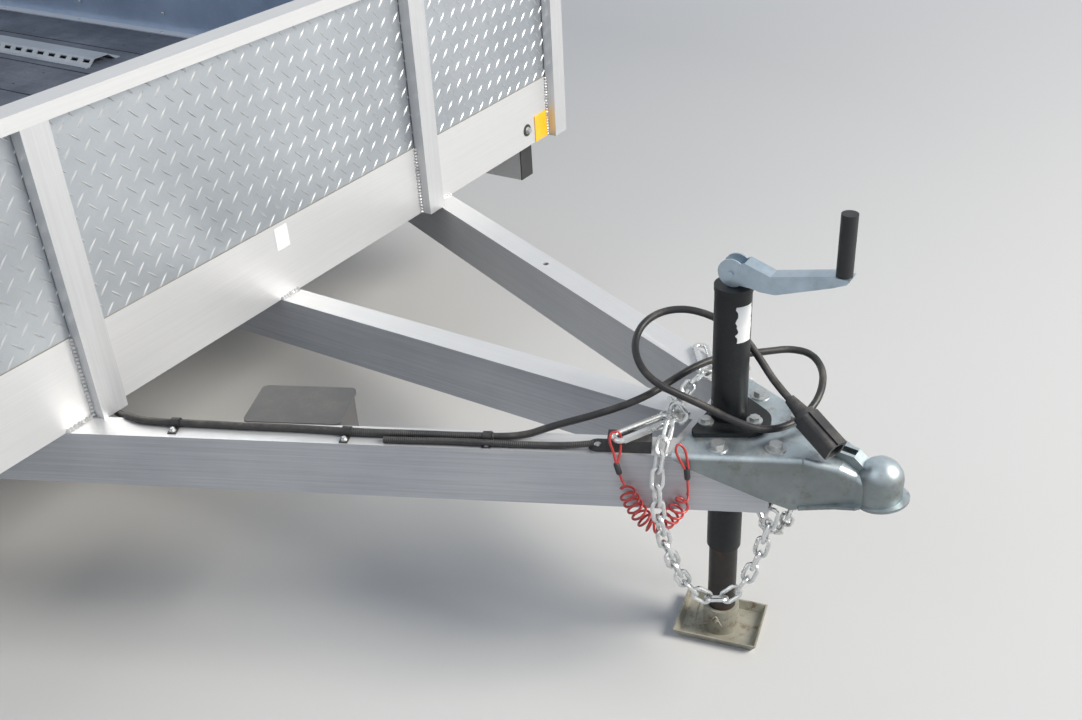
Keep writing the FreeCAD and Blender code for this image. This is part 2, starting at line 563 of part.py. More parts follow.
def rim_shape(centre, sign):
    """A steel wheel with its hub and brake drum; u runs outwards from the wheel's middle plane."""
    half, seat, lip, wall = S.rim_width / 2, S.rim_radius, S.rim_flange, S.rim_wall
    drop = seat - 22

    def at(u, r):
        return centre + Vector(sign * u, 0, r)

    barrel = outline(at(-half, seat + lip), at(-half, seat - wall), at(-34, seat - wall), at(-22, drop - wall),
                     at(22, drop - wall), at(34, seat - wall), at(half, seat - wall), at(half, seat + lip),
                     at(half - wall, seat + lip), at(half - wall, seat), at(36, seat), at(24, drop), at(-24, drop),
                     at(-36, seat), at(wall - half, seat), at(wall - half, seat + lip))
    # the disc turns outwards to a flat hub face, and the drum stands behind it
    disc = outline(at(-8, S.spindle_radius + 1), at(-8, 60), at(14, 104), at(14, drop - wall - 1), at(8, drop - wall - 1),
                   at(8, 107), at(-14, 64), at(-14, 80), at(-14, S.drum_radius), at(-84, S.drum_radius),
                   at(-84, S.drum_radius - 6), at(-20, S.drum_radius - 6), at(-20, 46), at(-70, 46),
                   at(-70, S.spindle_radius + 1))
    solids = [face.revolve(centre, Vector(1, 0, 0), 360) for face in (barrel, disc)]
    cap = outline(at(-8, 0), at(-8, S.hub_cap), at(26, S.hub_cap - 6), at(32, 28), at(32, 0)).revolve(centre, Vector(1, 0, 0), 360)
    foot, out = centre + Vector(sign * 8, 0, 0), Vector(sign, 0, 0)
    web = Part.makeCylinder(drop - wall + 2, 6, foot, out).cut(Part.makeCylinder(110, 6, foot, out))
    vents = []
    for i in range(8):
        k = 2 * math.pi * i / 8
        place = foot + Vector(0, S.vent_circle * math.sin(k), S.vent_circle * math.cos(k)) - out * 10
        vents.append(Part.makeCylinder(S.vent_radius, 30, place, out))
    web = web.cut(Part.makeCompound(vents))
    nuts = []
    for i in range(5):
        k = 2 * math.pi * i / 5
        foot = centre + Vector(sign * -9, S.nut_circle * math.sin(k), S.nut_circle * math.cos(k))
        nuts.append(Part.makeCylinder(S.nut_radius, 18, foot, Vector(sign, 0, 0)))
    return solids[0].multiFuse(solids[1:] + [web, cap] + nuts).removeSplitter()


TYRE_SIDES = 28


def tyre_shape(centre):
    """A tyre of flat facets, one of them down: its section is set round the axle at each corner."""
    half, tread, out = S.tyre_width / 2, S.tread_width / 2, S.tyre_radius
    bead, seat, bulge = S.rim_width / 2 - S.rim_wall - 6, S.rim_radius + 0.3, (S.rim_radius + S.tyre_radius) / 2
    shoulder, rubber, crown = 10.0, 13.0, 16.0
    right = [(tread, out), (tread + shoulder, out - 1.4 * shoulder), (half, bulge), (bead, seat),
             (bead - rubber, seat), (half - rubber, bulge), (tread, out - crown)]
    section = right + [(-u, r) for u, r in reversed(right)]
    corner = 1 / math.cos(math.pi / TYRE_SIDES)
    rings = []
    for k in range(TYRE_SIDES + 1):
        turn = 2 * math.pi * (k + 0.5) / TYRE_SIDES
        rings.append([centre + Vector(u, r * corner * math.sin(turn), r * corner * math.cos(turn)) for u, r in section])
    faces = []
    for here, there in zip(rings, rings[1:]):
        for k in range(len(section)):
            faces.append(Part.Face(Part.makePolygon([here[k - 1], here[k], there[k], there[k - 1], here[k - 1]])))
    solid = Part.Solid(Part.Shell(faces))
    if solid.Volume < 0:
        solid.reverse()
    return solid


def gate_pieces():
    """The ramp gate at the rear: a tube frame, cross bars and hinges."""
    low_y = S.bed_length - S.rail_width
    stile, deep, wall = S.post_width, S.rail_width, S.post_wall

    def tube(x, z, across, tall):
        """A rectangular tube along its longer side."""
        shell = Part.makeBox(across, deep, tall, Vector(x, low_y, z))
        ends = (0, wall) if tall > across else (wall, 0)
        return shell.cut(Part.makeBox(across - 2 * (wall - ends[0]), deep - 2 * wall, tall - 2 * (wall - ends[1]),
                                      Vector(x + wall - ends[0], low_y + wall, z + wall - ends[1])))

    inside = 2 * (S.gate_half - stile)
    tubes = [tube(-S.gate_half, S.gate_z, stile, S.gate_height),
             tube(S.gate_half - stile, S.gate_z, stile, S.gate_height),
             tube(-inside / 2, S.gate_z, inside, stile),
             tube(-inside / 2, S.gate_z + S.gate_height - stile, inside, stile)]
    node("gate_frame", shaped("gate_tubes", Part.makeCompound(tubes)))
    bars = []
    clear = S.gate_height - 2 * stile
    count = int(clear / S.gate_slat_pitch)
    for k in range(count):
        z = S.gate_z + stile + clear * (k + 1) / (count + 1) - S.gate_slat / 2
        reach = S.gate_half - stile
        bar = Part.makeBox(2 * reach, deep, S.gate_slat, Vector(-reach, low_y, z))
        channel = Part.makeBox(2 * reach, deep - wall, S.gate_slat - 2 * wall, Vector(-reach, low_y + wall, z + wall))
        bars.append(bar.cut(channel))
    node("gate_slats", shaped("gate_bars", Part.makeCompound(bars)))

    # each hinge: a pin with a barrel and leaf on the sill, and two barrels and leaves on the gate
    leaf, width, play = S.leaf_thick, S.barrel_length, S.barrel_play
    side, axis = S.half_width - S.hinge_side, Vector(1, 0, 0)
    sill, gate = [], []
    for x in (-side, 0, side):
        for place in (-1, 0, 1):
            long = width if place == 0 else width - play
            foot = Vector(x + place * (width + play / 2) - long / 2, S.hinge_y, S.hinge_z)
            barrel = Part.makeCylinder(S.hinge_radius, long, foot, axis)
            back = S.bed_length
            if place == 0:
                plate = Part.makeBox(long, leaf, S.leaf_tall, Vector(foot.x, back, S.hinge_z - S.leaf_tall - 2))
                neck = Part.makeBox(long, S.hinge_back, leaf, Vector(foot.x, back, S.hinge_z - S.hinge_radius))
                reach = 1.5 * width - play
                pin = Part.makeCylinder(S.hinge_pin, 2 * reach, Vector(x - reach, S.hinge_y, S.hinge_z), axis)
                sill.append(barrel.multiFuse([plate, neck, pin]).removeSplitter())
            else:
                plate = Part.makeBox(long, leaf, S.leaf_tall, Vector(foot.x, back, S.hinge_z + S.hinge_drop))
                neck = Part.makeBox(long, S.hinge_back, leaf, Vector(foot.x, back, S.hinge_z + S.hinge_radius - leaf))
                body = barrel.multiFuse([plate, neck]).removeSplitter()
                gate.append(body.cut(Part.makeCylinder(S.hinge_pin + 0.1, long, foot, axis)))
    node("sill_hinges", shaped("fixed_hinges", Part.makeCompound(sill)))
    node("gate_hinges", shaped("moving_hinges", Part.makeCompound(gate)))


def coupler_pieces():
    """The stamped coupler: top plate bent down into skirts, waisted neck with a slotted ridge, ball dome and lip."""
    angle = math.radians(S.tongue_half_angle)
    slope, skin = math.tan(angle), S.coupler_wall
    offset = (S.tube_width / 2 + 0.3) / math.cos(angle)
    thick = skin / math.cos(angle)

    def side(extra, y):
        return Vector((y + S.tongue_apex) * slope + offset + extra, y, 0)

    neck, rear = -S.coupler_neck, -S.coupler_rear
    plate = [side(thick, neck), side(thick, rear - 4), side(thick - 9, rear)]
    twins = [Vector(-corner.x, corner.y, 0) for corner in reversed(plate)]
    top = outline(*plate, *twins).extrude(Vector(0, 0, skin))
    top = top.cut(Part.makeCylinder(S.jack_radius + 0.5, 3 * skin, Vector(0, -S.jack_y, -skin)))

    # a skirt hugs each tongue tube; its lower edge falls from the rear corner towards the neck
    edge = [(rear - 4, skin), (rear - 4, -3), (rear - 30, -21), (neck + 53, -72), (neck, -S.neck_foot - 8), (neck, skin)]
    skirt = outline(*[side(0, y) + Vector(0, 0, z) for y, z in edge])
    across = Vector(math.cos(angle), -math.sin(angle), 0) * skin
    right = skirt.extrude(across)
    pieces = [top, right, right.mirror(Vector(0, 0, 0), Vector(1, 0, 0))]

    # the neck: arched sections, waisted ahead of the ball's dome
    def arch(y, half, crown, foot_half, foot, bend):
        near = bend * (1 - math.sqrt(0.5))
        low = crown - bend
        face = outline(Vector(-foot_half, y, foot), Vector(-half, y, low),
                       (Vector(near - half, y, crown - near), Vector(bend - half, y, crown)),
                       Vector(half - bend, y, crown),
                       (Vector(half - near, y, crown - near), Vector(half, y, low)), Vector(foot_half, y, foot))
        return face.OuterWire

    dome_radius = S.ball_radius + skin
    ball = Vector(0, -S.ball_y, -S.ball_drop)
    waist = S.waist_ahead - S.ball_y
    wide = side(thick, neck).x
    foot = -S.neck_foot - 8
    rows = ((neck, wide, skin, wide, S.coupler_bend), (waist, S.waist_half, -4.0, S.waist_half - 4, 12.0),
            (waist - 25, dome_radius - 6, -17.0, dome_radius - 5, 12.0),
            (4 - S.ball_y, dome_radius - 3, -24.0, dome_radius - 3, 12.0))
    outer = Part.makeLoft([arch(y, half, crown, low, foot, bend) for y, half, crown, low, bend in rows], True, True)
    inner = Part.makeLoft([arch(y, half - thick, crown - skin, low - thick, foot - 20, bend - 3)
                           for y, half, crown, low, bend in rows], True, True)
    above = Part.makeBox(4 * dome_radius, 4 * dome_radius, 2 * dome_radius,
                         ball - Vector(2 * dome_radius, 2 * dome_radius, 0))
    dome = Part.makeSphere(dome_radius, ball).common(above)
    dome = dome.fuse(Part.makeCylinder(dome_radius, -foot - S.ball_drop, Vector(0, -S.ball_y, foot)))
    ball_space = Part.makeSphere(S.ball_radius, ball).fuse(
        Part.makeCylinder(S.ball_radius, 120, ball - Vector(0, 0, 120)))

    # the ridge runs over the waist, with a slot that shows the latch's spring strip
    low, high = S.ridge_top - 20, S.ridge_top
    ridge_line = [(neck - 12, low), (neck - 12, skin - 1), (neck - 32, high), (waist - 14, high - 3),
                  (waist - 36, -12), (waist - 36, low - 25)]

    def ridge_block(half, drop):
        face = outline(*[Vector(-half, y, z - drop) for y, z in ridge_line])
        return face.extrude(Vector(2 * half, 0, 0))

    slot = Part.makeBox(2 * S.slot_half, S.slot_length, 40, Vector(-S.slot_half, waist - 14, low))
    strip = Part.makeBox(2 * S.ridge_half, S.slot_length - 8, 1.5, Vector(-S.ridge_half, waist - 9, -3))

    # the foot's edge rises towards the nose; what hangs under that plane is cut off, and the lip stands on it
    rise = math.degrees(math.atan2(S.neck_foot - S.nose_foot, S.ball_y - S.coupler_neck))

    def slab(thickness):
        block = Part.makeBox(400, 600, abs(thickness), Vector(-200, -300, min(thickness, 0)))
        block.Placement = Placement(Vector(0, neck, -S.neck_foot), Rotation(Vector(1, 0, 0), -rise))
        return block

    reach = dome_radius + S.coupler_lip
    tip = math.sqrt(0.5) * reach
    hug = S.waist_half + 4
    lip = outline(Vector(-wide - 4, neck, -150), Vector(-hug, waist, -150), Vector(-tip - 6, tip - S.ball_y - 8, -150),
                  Vector(-tip, tip - S.ball_y - 15, -150),
                  (Vector(0, -S.ball_y - reach, -150), Vector(tip, tip - S.ball_y - 15, -150)),
                  Vector(tip + 6, tip - S.ball_y - 8, -150), Vector(hug, waist, -150), Vector(wide + 4, neck, -150))
    lip = lip.extrude(Vector(0, 0, 150)).common(slab(skin))

    body = outer.multiFuse([dome, ridge_block(S.ridge_half, 0)])
    body = body.cut(slab(-80)).fuse(lip)
    body = body.cut(inner.fuse(ridge_block(S.ridge_half - 4, skin))).multiFuse(pieces + [strip]).cut(ball_space.fuse(slot))
    body = body.cut(slab(-80))
    for sign in (1, -1):
        # the bend between plate and skirt is rounded along each outer edge
        start, end = side(thick, neck), side(thick, rear + 10)
        way = (end - start).normalize()
        inward = Vector(-math.cos(angle), math.sin(angle), 0)
        bend = S.coupler_bend
        corner = start + Vector(0, 0, skin)
        sharp = outline(corner, corner + inward * bend, corner + inward * bend - Vector(0, 0, bend),
                        corner - Vector(0, 0, bend)).extrude(way * (end - start).Length)
        heart = Part.makeCylinder(bend, (end - start).Length, corner + inward * bend - Vector(0, 0, bend), way)
        cutter = sharp.cut(heart)
        body = body.cut(cutter if sign > 0 else cutter.mirror(Vector(0, 0, 0), Vector(1, 0, 0)))
    body = max(body.removeSplitter().Solids, key=lambda solid: solid.Volume)
    node("coupler", shaped("coupler_body", body))

    # hex bolts: X, Y, height of the seat, half across flats, head height
    bolts = [(82.3, -958.8, skin, 9.5, 8.0), (43.5, -1037.5, skin, 9.5, 8.0)]
    heads = []
    for x, y, seat, half, tall in bolts:
        for sign in (1, -1):
            heads.append(bolt_shape(Vector(sign * x, y, seat), half, tall))
    for k in range(3):
        turn = math.radians(-90 + 120 * k)
        x, y = S.flange_pcd / 2 * math.cos(turn), S.flange_pcd / 2 * math.sin(turn) - S.jack_y
        heads.append(bolt_shape(Vector(x, y, skin + S.flange_thick), 7.5, 6.0))
    node("coupler_bolts", shaped("bolt_heads", Part.makeCompound(heads)))


def bolt_shape(seat, half, tall):
    """A hex head on its washer."""
    washer = Part.makeCylinder(half * 1.7, 2.0, seat)
    radius = half / math.cos(math.radians(30))
    corners = [seat + Vector(radius * math.cos(a), radius * math.sin(a), 2.0)
               for a in (math.radians(60 * i + 15) for i in range(6))]
    return washer.fuse(outline(*corners).extrude(Vector(0, 0, tall)))


def jack_pieces():
    """The jack: outer tube with flange and cap, leg, foot, crank and grip."""
    axis = Vector(0, -S.jack_y, 0)

    def barrel(radius, low, high):
        return Part.makeCylinder(radius, high - low, axis + Vector(0, 0, low))

    seat = S.coupler_wall
    rear, half, nose = S.flange_rear, S.flange_half, S.flange_nose
    corners = [Vector(-half + 9, rear, seat), Vector(half - 9, rear, seat), Vector(half, rear - 9, seat),
               Vector(half / 2, 22 - nose, seat), (Vector(0, -nose, seat), Vector(-half / 2, 22 - nose, seat)),
               Vector(-half, rear - 9, seat)]
    plate = outline(*corners).extrude(Vector(0, 0, S.flange_thick))
    plate.translate(axis)
    cap = barrel(S.jack_radius + 1, S.jack_top - S.cap_tall, S.jack_top)
    tube = barrel(S.jack_radius, -S.jack_bottom, S.jack_top).multiFuse([plate, cap])
    tube = tube.cut(barrel(S.jack_radius - S.jack_wall, -S.jack_bottom, S.jack_top - 8)).removeSplitter()
    node("jack_tube", shaped("jack_outer", tube))

    leg_top = S.leg_overlap - S.jack_bottom
    floor = S.foot_plate - S.tongue_top
    leg = barrel(S.leg_radius, floor, leg_top).cut(barrel(S.leg_radius - 4, floor, leg_top - 6))
    node("jack_leg", shaped("jack_inner", leg))

    length, width, rim = S.foot_length, S.foot_width, S.foot_rim
    spread = 9.0
    base = Part.makeBox(width - 2 * spread, length - 2 * spread, S.foot_plate,
                        Vector(spread - width / 2, spread - length / 2, 0))

    def frustum(grow, low, high):
        wires = []
        for z in (low, high):
            out = spread * (1 - z / rim) + grow
            x, y = width / 2 - out, length / 2 - out
            wires.append(Part.makePolygon([Vector(-x, -y, z), Vector(x, -y, z), Vector(x, y, z), Vector(-x, y, z),
                                           Vector(-x, -y, z)]))
        return Part.makeLoft(wires, True, True)

    pan = frustum(0, 0, rim).cut(frustum(3, S.foot_plate, rim + 0.01)).fuse(base)
    collar = Part.makeCylinder(S.collar_radius, S.collar_height, Vector(0, 0, S.foot_plate)).cut(
        Part.makeCylinder(S.leg_radius + 0.3, S.collar_height, Vector(0, 0, S.foot_plate)))
    pan = pan.fuse(collar).removeSplitter()
    pan.Placement = Placement(axis + Vector(0, 0, -S.tongue_top), Rotation(Vector(0, 0, 1), S.foot_turn))
    node("jack_foot", shaped("foot_pan", pan))

    # the crank: a channel bent from sheet, with two round cheeks at its pin, dips and then rises to the grip
    pin, head, sheet = S.crank_pin, S.crank_head, S.crank_sheet
    half, reach = S.crank_width / 2, S.crank_reach
    heel = head * math.sqrt(0.5)
    end = S.grip_foot - 0.3
    outer = outline(Vector(0, -heel, pin - heel - 2), (Vector(0, head, pin), Vector(0, -heel, pin + heel + 3)),
                    Vector(0, -21, 289), Vector(0, -61, 276), Vector(0, 17 - reach, end), Vector(0, -13 - reach, end),
                    Vector(0, -9 - reach, end - 7), Vector(0, 12 - reach, end - 17), Vector(0, -70, 248.5),
                    Vector(0, -46, 248), Vector(0, -33, 250.6))
    under = outline(Vector(0, head + 2, 230), Vector(0, head + 2, 305), Vector(0, -18, 305), Vector(0, -20, 289 - sheet),
                    Vector(0, -61, 276 - sheet), Vector(0, 17 - reach, end - sheet), Vector(0, -2 - reach, end - sheet),
                    Vector(0, -2 - reach, 230))
    arm = outer.extrude(Vector(2 * half, 0, 0)).cut(under.extrude(Vector(2 * (half - sheet), 0, 0)).translated(
        Vector(sheet, 0, 0)))
    arm.translate(Vector(-half, 0, 0))
    boss = Part.makeCylinder(half - sheet + 0.1, pin + 6 - S.jack_top, Vector(0, 0, S.jack_top + 0.3))
    bolt = Part.makeCylinder(4, 2 * half + 6, Vector(-half - 3, 0, pin), Vector(1, 0, 0))
    crank = arm.multiFuse([boss, bolt]).removeSplitter()
    crank.translate(axis)
    node("jack_crank", shaped("crank_arm", crank))
    grip = Part.makeCylinder(S.grip_radius, S.grip_length, Vector(0, -S.jack_y - reach, S.grip_foot))
    node("crank_grip", shaped("grip_sleeve", grip))


def rounded_path(points):
    """Straight runs joined by tangent arcs, each as large as its two runs allow, and the arcs' radii."""
    edges, radii, here = [], [], points[0]
    for before, corner, after in zip(points, points[1:], points[2:]):
        back, ahead = before - corner, after - corner
        turn = math.pi - back.getAngle(ahead)
        reach = 0.45 * min(back.Length, ahead.Length)
        radii.append(reach / math.tan(turn / 2))
        back.normalize()
        ahead.normalize()
        start, end = corner + back * reach, corner + ahead * reach
        middle = back + ahead
        middle.normalize()
        middle = corner + middle * radii[-1] * (1 / math.cos(turn / 2) - 1)
        edges += [Part.makeLine(here, start), Part.Arc(start, middle, end).toShape()]
        here = end
    edges.append(Part.makeLine(here, points[-1]))
    return Part.Wire(edges), radii


def tube_along(name, points, diameter):
    """A round solid along a route, checked against its section times its length."""
    path, radii = rounded_path(points)
    section = Part.Wire(Part.makeCircle(diameter / 2, points[0], points[1] - points[0]))
    solid = path.makePipeShell([section], True, True)
    share = solid.Volume / (math.pi * diameter ** 2 / 4 * path.Length)
    print("%s: %.0f mm long, radii %s, volume %.3f of section times length"
          % (name, path.Length, " ".join("%.0f" % radius for radius in radii), share))
    return solid


def points_of(rows):
    return [Vector(*row) for row in rows]


# Routes chosen by hand, X, Y, Z from the rail's face and the tongue tubes' top
HARNESS = ((-443, 119.6, 40), (-443, 94, 40), (-443, 62, 8), (-444, 34, -8.5), (-447, 0, -8), (-453, -32, -7),
           (-461, -60, 5.2), (-460, -90, 6.5), (-450, -122, 6.4), (-424, -180, 6.4), (-391, -258, 6.4),
           (-350, -350, 6.4), (-309, -454, 6.4), (-277, -520, 6.4), (-247, -590, 6.4), (-220, -643, 6.4))
LOOM = ((-311, -486, 5.2), (-296, -520, 5.2), (-268, -578, 6.8), (-244, -634, 6.8), (-221, -682, 5.2),
        (-200, -727, 5.2), (-184, -762, 7), (-170, -790, 11))
CORD = ((-220, -643, 6.4), (-202, -678.3, 6.4), (-168, -713, 17), (-137, -762, 32), (-112, -807, 50), (-77, -839, 62),
        (-32, -855, 68), (16, -869, 70), (58, -889, 70), (92, -921, 68), (122, -952, 66), (150, -980, 64),
        (158, -1015, 60), (133, -1044, 50), (95, -1057, 40), (60, -1058, 29), (27, -1048, 20), (-6, -1031, 17),
        (-34, -1003, 22), (-45, -965, 35), (-51, -926, 50), (-65, -890, 68), (-79, -856, 86), (-76, -824, 104),
        (-52, -798, 123), (-13, -788, 139), (25, -801, 149), (50, -832, 152), (55, -872, 150), (50, -910, 143),
        (44, -944, 130), (31, -975, 108),
        (16, -1007, 82), (3, -1037.5, 68))
PLUG_LENGTH = 107.0
DRAPE = ((-97, -880, 16), (-124, -888, 21), (-150, -894, 11), (-166, -898, -16), (-174, -902, -52),
         (-178, -908, -88), (-174, -914, -128), (-161, -920, -170), (-145, -926, -214), (-131, -938, -250),
         (-119, -956, -273), (-105, -979, -283), (-91, -1000, -271), (-80, -1018, -238), (-68, -1033, -185),
         (-50, -1044, -103.2))
CABLE = ((-176, -843, -40), (-172.5, -851, -64), (-168, -861, -90), (-161, -876, -118), (-152.5, -895, -122),
         (-145, -911, -106), (-139, -924, -82), (-134, -935.5, -56))
LEFT_LOOP = ((-178.5, -834.5, -8), (-175.5, -829, 10), (-173.5, -819.5, 28), (-166, -819, 39), (-156.5, -829.5, 38),
             (-159.2, -832.6, 26), (-169, -836.5, 4), (-179, -835.5, -8))
RIGHT_LOOP = ((-136.5, -930.5, -12), (-140, -923, 6), (-140, -915, 21), (-132, -916, 30), (-128, -925, 22),
              (-132, -932, 6), (-133.8, -935, -12))
HOOKS = (((-168, -822, 26.8), (-84, -880, 38)), ((186, -800, 4.8), (106, -856, 4.8)))


def chain_link(half_long, half_wide, wire):
    """A chain link lying along X: an eight-cornered ring."""
    faces = []
    low = -wire / 2
    for long, wide, bevel in ((half_long, half_wide, half_wide * 0.62), (half_long - wire, half_wide - wire, 1.0)):
        corners = [(long, wide - bevel), (long - bevel, wide), (bevel - long, wide), (-long, wide - bevel),
                   (-long, bevel - wide), (bevel - long, -wide), (long - bevel, -wide), (long, bevel - wide)]
        faces.append(outline(*[Vector(u, v, low) for u, v in corners]))
    return faces[0].cut(faces[1]).extrude(Vector(0, 0, wire))


def snap_hook(half_long, half_wide, bar):
    """A snap hook lying along X: a ring of round bar whose one side is a folded sheet gate on a rivet."""
    bend, run = half_wide - bar, half_long - half_wide
    ring = []
    for sign in (1, -1):
        centre = Vector(sign * run, 0, 0)
        torus = Part.makeTorus(bend, bar, centre, Vector(0, 0, 1))
        keep = Part.makeBox(half_wide, 2 * half_wide, 2 * bar, Vector(min(sign * run, sign * (run + half_wide)),
                                                                       -half_wide, -bar))
        ring.append(torus.common(keep))
    ring.append(Part.makeCylinder(bar, 2 * run, Vector(-run, bend, 0), Vector(1, 0, 0)))
    gate = Part.makeBox(2 * run, 1.6 * bar, 2 * bar, Vector(-run, -bend - 0.8 * bar, -bar))
    rivet = Part.makeCylinder(0.7 * bar, 2.2 * bar, Vector(0.8 * run, -bend, -bar))
    return ring[0].multiFuse(ring[1:] + [gate, rivet]).removeSplitter()


def chain_along(points, link, pitch):
    """Links hung one in the other along a route, each turned a quarter from the one before."""
    path, _ = rounded_path(points)
    count = int(path.Length / pitch - 0.5)
    places = path.discretize(Number=int(path.Length * 5))

    def at(distance):
        return places[min(len(places) - 1, int(round(distance / path.Length * (len(places) - 1))))]

    links = []
    across = Vector(1, 0, 0)
    ends = [at(path.Length - pitch * (k + 0.25)) for k in range(count + 1)]
    for k, (here, there) in enumerate(zip(ends, ends[1:])):
        along = there - here
        along.normalize()
        across = across - along * across.dot(along)
        across.normalize()
        wide = across if k % 2 else along.cross(across)
        turn = Rotation(along, wide, along.cross(wide), "XYZ")
        piece = link.copy()
        piece.Placement = Placement((here + there) * 0.5, turn)
        links.append(piece)
    return links


def tongue_fittings():
    """Junction box, breakaway switch, harness with clips, cord with plug, chains and hooks."""
    angle = math.radians(S.tongue_half_angle)
    slope = math.tan(angle)
    along = Vector(-math.sin(angle), math.cos(angle), 0)
    inward = Vector(math.cos(angle), math.sin(angle), 0)

    def beside(y, off):
        """A point on the left tube's centre line, moved towards the trailer's middle."""
        return Vector(-(y + S.tongue_apex) * slope, y, 0) + inward * off

    def block(start, length, deep, low, high):
        corners = [start, start + along * length, start + along * length + inward * deep, start + inward * deep]
        return outline(*[corner + Vector(0, 0, low) for corner in corners]).extrude(Vector(0, 0, high - low))

    # the box hangs from the inner face of the left tongue tube
    start = beside(-402, S.tube_width / 2)
    def eased(solid, radius):
        """The solid with its upright edges rounded."""
        upright = [edge for edge in solid.Edges if edge.BoundBox.ZLength > 0.99 * solid.BoundBox.ZLength]
        return solid.makeFillet(radius, upright)

    case = eased(block(start + along * 4, 158, 106, -78, -4), 8).fuse(eased(block(start, 167, 110, -4, 2), 11))
    gland = Part.makeCylinder(9, 18, start + along * 160 + inward * 30 - Vector(0, 0, 30), along)
    node("junction_box", shaped("box_and_lid", case.fuse(gland).removeSplitter()))

    # the switch stands on the tube's top: a case and a round mounting tab
    start = beside(-866, -20)
    length, wide = 68, 30
    eye = start + along * (length + 16) + inward * wide / 2
    case = block(start, length, wide, 0, 22)
    tab = Part.makeCylinder(wide / 2, 4, eye).fuse(block(start + along * length, 16, wide, 0, 4))
    tab = tab.cut(Part.makeCylinder(3.5, 4, eye))
    node("breakaway_switch", shaped("switch_case", case.fuse(tab).removeSplitter()))

    harness = [tube_along("harness", points_of(HARNESS), 12.0), tube_along("loom", points_of(LOOM), 9.0)]
    node("wiring_harness", shaped("harness_tubes", Part.makeCompound(harness)))
    clips = []
    for k, share in ((9, 0.5), (12, 0.68), (15, 0.75)):
        before, after = points_of(HARNESS[k - 1:k + 1])
        way = after - before
        spot = before + way * share
        way.z = 0
        way.normalize()
        spot = spot - way * 7
        side = Vector(way.y, -way.x, 0)
        hoop = Part.makeCylinder(8.7, 14, spot, way).cut(Part.makeCylinder(6.7, 14, spot, way))
        floor = spot - Vector(0, 0, spot.z)
        foot = outline(floor, floor + way * 14, floor + way * 14 + side * 24, floor + side * 24).extrude(
            Vector(0, 0, 2))
        under = outline(floor - side * 12 - Vector(0, 0, 5), floor + way * 14 - side * 12 - Vector(0, 0, 5),
                        floor + way * 14 + side * 12 - Vector(0, 0, 5), floor + side * 12 - Vector(0, 0, 5)).extrude(
            Vector(0, 0, 5))
        clips.append(hoop.fuse(foot.cut(Part.makeCylinder(8, 14, spot, way))).cut(under).removeSplitter())
    node("harness_clips", shaped("p_clips", Part.makeCompound(clips)))

    cord = points_of(CORD)
    node("trailer_cord", shaped("cord_tube", tube_along("cord", cord, 12.0)))
    way = cord[-1] - cord[-2]
    way.normalize()
    boot = Part.makeCone(8.5, 13, 34, cord[-1], way)
    collar = Part.makeCylinder(17.5, 12, cord[-1] + way * 32, way)
    shell = Part.makeBox(35, 33, PLUG_LENGTH - 40, Vector(-17.5, -16.5, 0))
    shell = shell.makeFillet(7, [edge for edge in shell.Edges if edge.BoundBox.ZLength > 1])
    shell = shell.fuse(Part.makeBox(9, 4, PLUG_LENGTH - 40, Vector(-4.5, 15.5, 0)))
    shell = shell.cut(Part.makeCylinder(13.5, 14, Vector(0, 0, PLUG_LENGTH - 54)))
    upward = Vector(0, 0, 1) - way * way.z
    upward.normalize()
    shell.Placement = Placement(cord[-1] + way * 40, Rotation(upward.cross(way), upward, way, "XYZ"))
    node("trailer_plug", shaped("plug_body", boot.multiFuse([collar, shell]).removeSplitter()))

    wire, pitch, play = 6.35, 27.0, 0.35
    link = chain_link(pitch / 2 + wire + play, 12.5, wire)
    left = chain_along(points_of(DRAPE), link, pitch)
    node("safety_chain_left", shaped("chain_left", Part.makeCompound(left)))
    right = [piece.mirror(Vector(0, 0, 0), Vector(1, 0, 0)) for piece in left]
    node("safety_chain_right", shaped("chain_right", Part.makeCompound(right)))

    # a snap hook for each chain: one lies on the switch, the other on the right tongue tube
    hooks = []
    for row in HOOKS:
        start, end = points_of(row)
        way, up = end - start, Vector(0, 0, 1)
        hook = snap_hook(way.Length / 2, 15, 4.5)
        hook.Placement = Placement((start + end) * 0.5, Rotation(way, up.cross(way), up, "XZY"))
        hooks.append(hook)
    node("chain_hooks", shaped("snap_hooks", Part.makeCompound(hooks)))

    # the breakaway cable: a coil, as thick as its turns, between two leads with ferrules and loops
    coil_wide, jacket, ferrule_radius, ferrule_length, touch = 28.0, 3.6, 4.4, 18.0, 0.8
    coil = points_of(CABLE)
    cable = [tube_along("cable coil", coil, coil_wide)]
    for end, after, loop in ((coil[0], coil[1], LEFT_LOOP), (coil[-1], coil[-2], RIGHT_LOOP)):
        loop = points_of(loop)
        foot = (loop[0] + loop[-1]) * 0.5
        up = (foot - end).normalize()
        start, crown = end + (end - after).normalize() * touch, foot - up * 1.5 * touch
        lead = Part.makeCylinder(jacket / 2, (crown - start).Length, start, up)
        ferrule = Part.makeCylinder(ferrule_radius, ferrule_length, crown - up * ferrule_length, up)
        cable += [lead.fuse(ferrule), tube_along("cable loop", loop, jacket)]
    node("breakaway_cable", shaped("cable_and_loops", Part.makeCompound(cable)))


